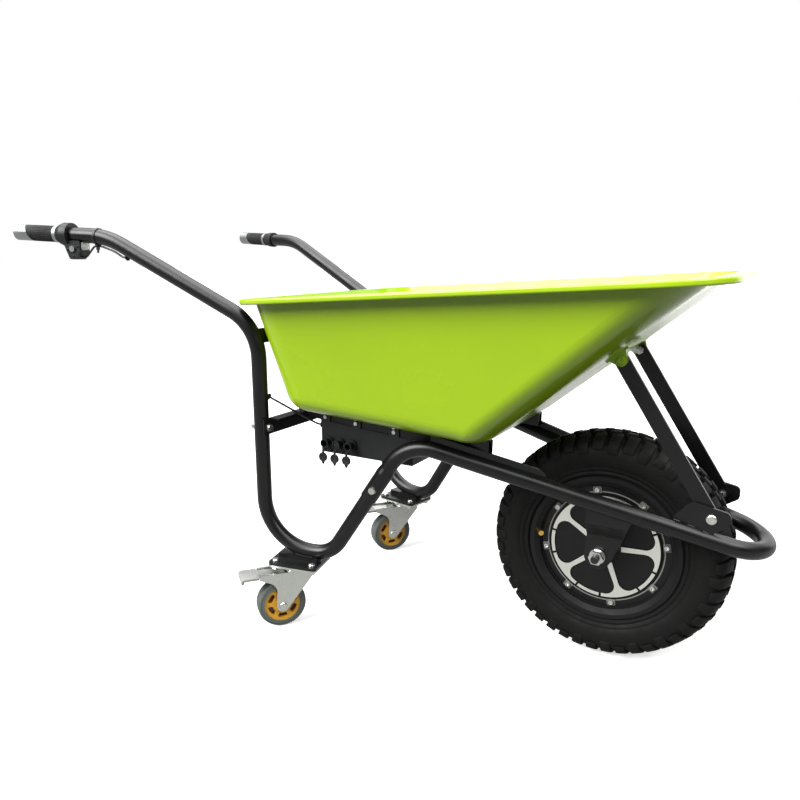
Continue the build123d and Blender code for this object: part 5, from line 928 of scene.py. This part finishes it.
FOOT_Z = 160
FOOT_BEND_R = 105
FOOT_BEND_BACK = 542  # where the foot's straight run turns up into the leg, behind the axle along the side
SADDLE_REAR_BACK = 576
SADDLE_HALF = 12.5
SADDLE_BELOW = 9.5  # the saddle's edge below the tube's centre line
SADDLE_RISE = 0.6  # share of the bend's rise that the saddle's edge climbs
SADDLE_STEPS = 35
SPLAY = radians(11.585)
side_run = Vector((cos(SPLAY), sin(SPLAY), 0))
side_out = Vector((sin(SPLAY), -cos(SPLAY), 0))


def on_foot(back, out):
    """Place beside the foot of the right tube where its saddle is welded on."""
    into_bend = max(0, back - FOOT_BEND_BACK)
    rise = FOOT_BEND_R - (FOOT_BEND_R**2 - into_bend**2) ** 0.5
    axle_spot = Vector((tube_beside_axle.x, -tube_beside_axle.y, 0))
    height = FOOT_Z - SADDLE_BELOW + rise * SADDLE_RISE
    return axle_spot - side_run * back + side_out * out + Vector((0, 0, height))


saddle_beads = []
for side in (-1, 1):
    for out in (-SADDLE_HALF, SADDLE_HALF):
        line = [on_foot(SADDLE_REAR_BACK - BEAD_STEP * step, out) for step in range(SADDLE_STEPS)]
        saddle_beads.append(weld_bead("saddle_bead", [(at.x, -side * at.y, at.z) for at in line]))
finished(joined("saddle_welds", saddle_beads), black_powder_coat, "frame", "black_paint")


# Rubber caps hanging below the sockets, in places from the hinge of the strap (mm)

CAP_DROP = 14
CAP_FRONT = -3  # the cap's outer face is this far out from the hinge
CAP_DEEP = 5
CAP_FACETS = 48
TAB_BACK = 3.6  # the back of the pull tab behind the cap's outer face
TAB_T = 2.2
TAB_EDGE_R = 0.7
STRAP_T = 1.6
STRAP_EDGE_R = 0.5
STRAP_RIB_FRONT = -1.3
STRAP_RIB_T = 1
STRAP_RIB_EDGE_R = 0.3
dished_disc = [
    (0, 0), (0, 8.4), (0.8, 9.4), (3.8, 9.5), (4.7, 9.1), (CAP_DEEP, 8.3), (4.7, 7.5), (4, 7), (3.7, 6.4),
    (3.5, 0),
]
pull_tab = [(-4.2, -7.5), (4.2, -7.5), (3.6, -10.5), (1.4, -14.6), (0, -15.6), (-1.4, -14.6), (-3.6, -10.5)]
strap_plan = [(-2.5, -6), (2.5, -6), (2.5, 0.6), (-2.5, 0.6)]
strap_rib_plan = [(-1, -6), (1, -6), (0.8, -1.6), (-0.8, -1.6)]


def rubber_cap(name):
    """A dished cap with a raised rim, a pointed tab to pull and a flat strap up to its hinge."""
    disc = turned(name, dished_disc, CAP_FACETS)
    disc_back = Vector((0, CAP_FRONT + CAP_DEEP, -CAP_DROP)) * MM
    put(disc, Matrix.Translation(disc_back) @ Matrix.Rotation(-pi / 2, 4, "Z"))
    tab_outline = [(x, CAP_FRONT + TAB_BACK, z - CAP_DROP) for x, z in pull_tab]
    tab = slab("pull_tab", tab_outline, (0, -TAB_T, 0), TAB_EDGE_R)
    strap_outline = [(x, -STRAP_T / 2, z) for x, z in strap_plan]
    strap = slab("strap", strap_outline, (0, STRAP_T, 0), STRAP_EDGE_R)
    rib_outline = [(x, STRAP_RIB_FRONT, z) for x, z in strap_rib_plan]
    rib = slab("strap_rib", rib_outline, (0, STRAP_RIB_T, 0), STRAP_RIB_EDGE_R)
    return joined(name, [disc, tab, strap, rib])


for place in ("rear", "middle", "front"):
    cap = rubber_cap("rubber_cap_" + place)
    put(cap, Matrix.Translation(joint_place(f"cap_{place}_swing")))
    finished(cap, soft_rubber, "cap_" + place, "black_rubber", "socket_cap_" + place)


# Floor, light and camera, in metres

FLOOR_R = 40
TABLE_CLOUD = 900  # mm
TABLE_GLOW = 0.55
TABLE_MIRRORED = 0.35  # share of the table's brightness that shows in a gloss


def light_table():
    """White acrylic lit from below: the floor looks white and throws little light back at the object."""
    material, tree, place = new_finish("white_acrylic_light_table")
    cloud = add_node(tree, "TexNoise", {"Scale": per(TABLE_CLOUD), "Detail": 2.0}, {"Vector": place})["Fac"]
    tint = add_node(
        tree,
        "Mix",
        {COLOUR_A: linear("#f6f6f5"), COLOUR_B: linear("#fbfbfa")},
        {FACTOR: cloud},
        data_type="RGBA",
    )[COLOUR_OUT]
    lit = add_node(tree, "BsdfDiffuse", links={"Color": tint})["BSDF"]
    glow = add_node(tree, "Emission", {"Strength": TABLE_GLOW}, {"Color": tint})["Emission"]
    shown = add_node(tree, "AddShader", links={0: lit, 1: glow})["Shader"]
    dull = add_node(tree, "BsdfDiffuse", {"Color": linear("#5a5a58")})["BSDF"]
    path = add_node(tree, "LightPath")
    mirrored_share = add_node(
        tree, "Math", {1: TABLE_MIRRORED}, {0: path["Is Glossy Ray"]}, operation="MULTIPLY"
    )["Value"]
    seen = add_node(
        tree, "Math", links={0: path["Is Camera Ray"], 1: mirrored_share}, operation="MAXIMUM"
    )["Value"]
    mixed = add_node(tree, "MixShader", links={0: seen, 1: dull, 2: shown})["Shader"]
    add_node(tree, "OutputMaterial", links={"Surface": mixed})
    return material


bpy.ops.object.select_all(action="DESELECT")
bpy.ops.mesh.primitive_circle_add(vertices=96, radius=FLOOR_R, fill_type="NGON")
floor = bpy.context.object
floor.name = "studio_floor"
floor.data.materials.append(light_table())

WALL_GLOW = 0.15
CEILING_GLOW = 6.0
CEILING_FROM = 0.5  # heights of a direction between which the wall turns into the ceiling
CEILING_FULL = 0.85
SOFT_FILL = 0.15
BACKDROP_GLOW = 1.0
world = bpy.data.worlds.new("white_studio")
bpy.context.scene.world = world
world.use_nodes = True
world.node_tree.nodes.clear()
path = add_node(world.node_tree, "LightPath")
direction = add_node(world.node_tree, "TexCoord")["Generated"]
height = add_node(world.node_tree, "SeparateXYZ", links={"Vector": direction})["Z"]
# A gloss sees the white ceiling, the walls below it stay dim
ceiling = add_node(
    world.node_tree,
    "MapRange",
    {"From Min": CEILING_FROM, "From Max": CEILING_FULL, "To Min": WALL_GLOW, "To Max": CEILING_GLOW},
    {"Value": height},
    interpolation_type="SMOOTHSTEP",
)["Result"]
sky_glow = add_node(
    world.node_tree, "Mix", {NUMBER_B: SOFT_FILL}, {FACTOR: path["Is Diffuse Ray"], NUMBER_A: ceiling}
)[NUMBER_OUT]
sky_glow = add_node(
    world.node_tree, "Mix", {NUMBER_B: BACKDROP_GLOW}, {FACTOR: path["Is Camera Ray"], NUMBER_A: sky_glow}
)[NUMBER_OUT]
sky = add_node(world.node_tree, "Background", {"Color": (1, 1, 1, 1)}, {"Strength": sky_glow})["Background"]
add_node(world.node_tree, "OutputWorld", links={"Surface": sky})


def light(name, kind, strength, place, target, **settings):
    """A studio light that points at a target."""
    data = bpy.data.lights.new(name, kind)
    data.energy = strength
    for setting, value in settings.items():
        setattr(data, setting, value)
    lamp = bpy.data.objects.new(name, data)
    bpy.context.scene.collection.objects.link(lamp)
    lamp.location = place
    lamp.rotation_euler = (Vector(target) - Vector(place)).to_track_quat("-Z", "Y").to_euler()
    return lamp


light("key_softbox", "SUN", strength=4.9, place=(-1.3, -2.3, 2.1), target=(0, 0, 0.3), angle=radians(36))
light(
    "top_strip", "AREA", strength=18, place=(-0.1, -0.4, 2.3), target=(0, 0, 0.5),
    shape="RECTANGLE", size=2.8, size_y=0.4,
)
back_panel = light(
    "back_panel", "AREA", strength=40, place=(0.3, 2.6, 1.0), target=(0.1, 0, 0.45),
    shape="RECTANGLE", size=5, size_y=1.6,
)
back_panel.visible_camera = False
light(
    "front_strip", "AREA", strength=16, place=(1.9, -0.7, 1.7), target=(0.7, 0, 0.3),
    shape="RECTANGLE", size=1.2, size_y=0.5,
)

CAMERA_PLACE = (0.724, -1.291, 0.744)
CAMERA_DOWN = 15.24  # degrees below level
CAMERA_TURN = 31.33  # degrees from +Y towards -X
camera_data = bpy.data.cameras.new("photo_camera")
camera_data.sensor_width = 36
camera_data.lens = 31.75
camera_data.shift_x = 0.0325
camera_data.shift_y = 0.0573
camera = bpy.data.objects.new("photo_camera", camera_data)
bpy.context.scene.collection.objects.link(camera)
camera.location = CAMERA_PLACE
camera.rotation_euler = (radians(90 - CAMERA_DOWN), 0, radians(CAMERA_TURN))
bpy.context.scene.camera = camera
bpy.context.scene.view_settings.view_transform = "Standard"
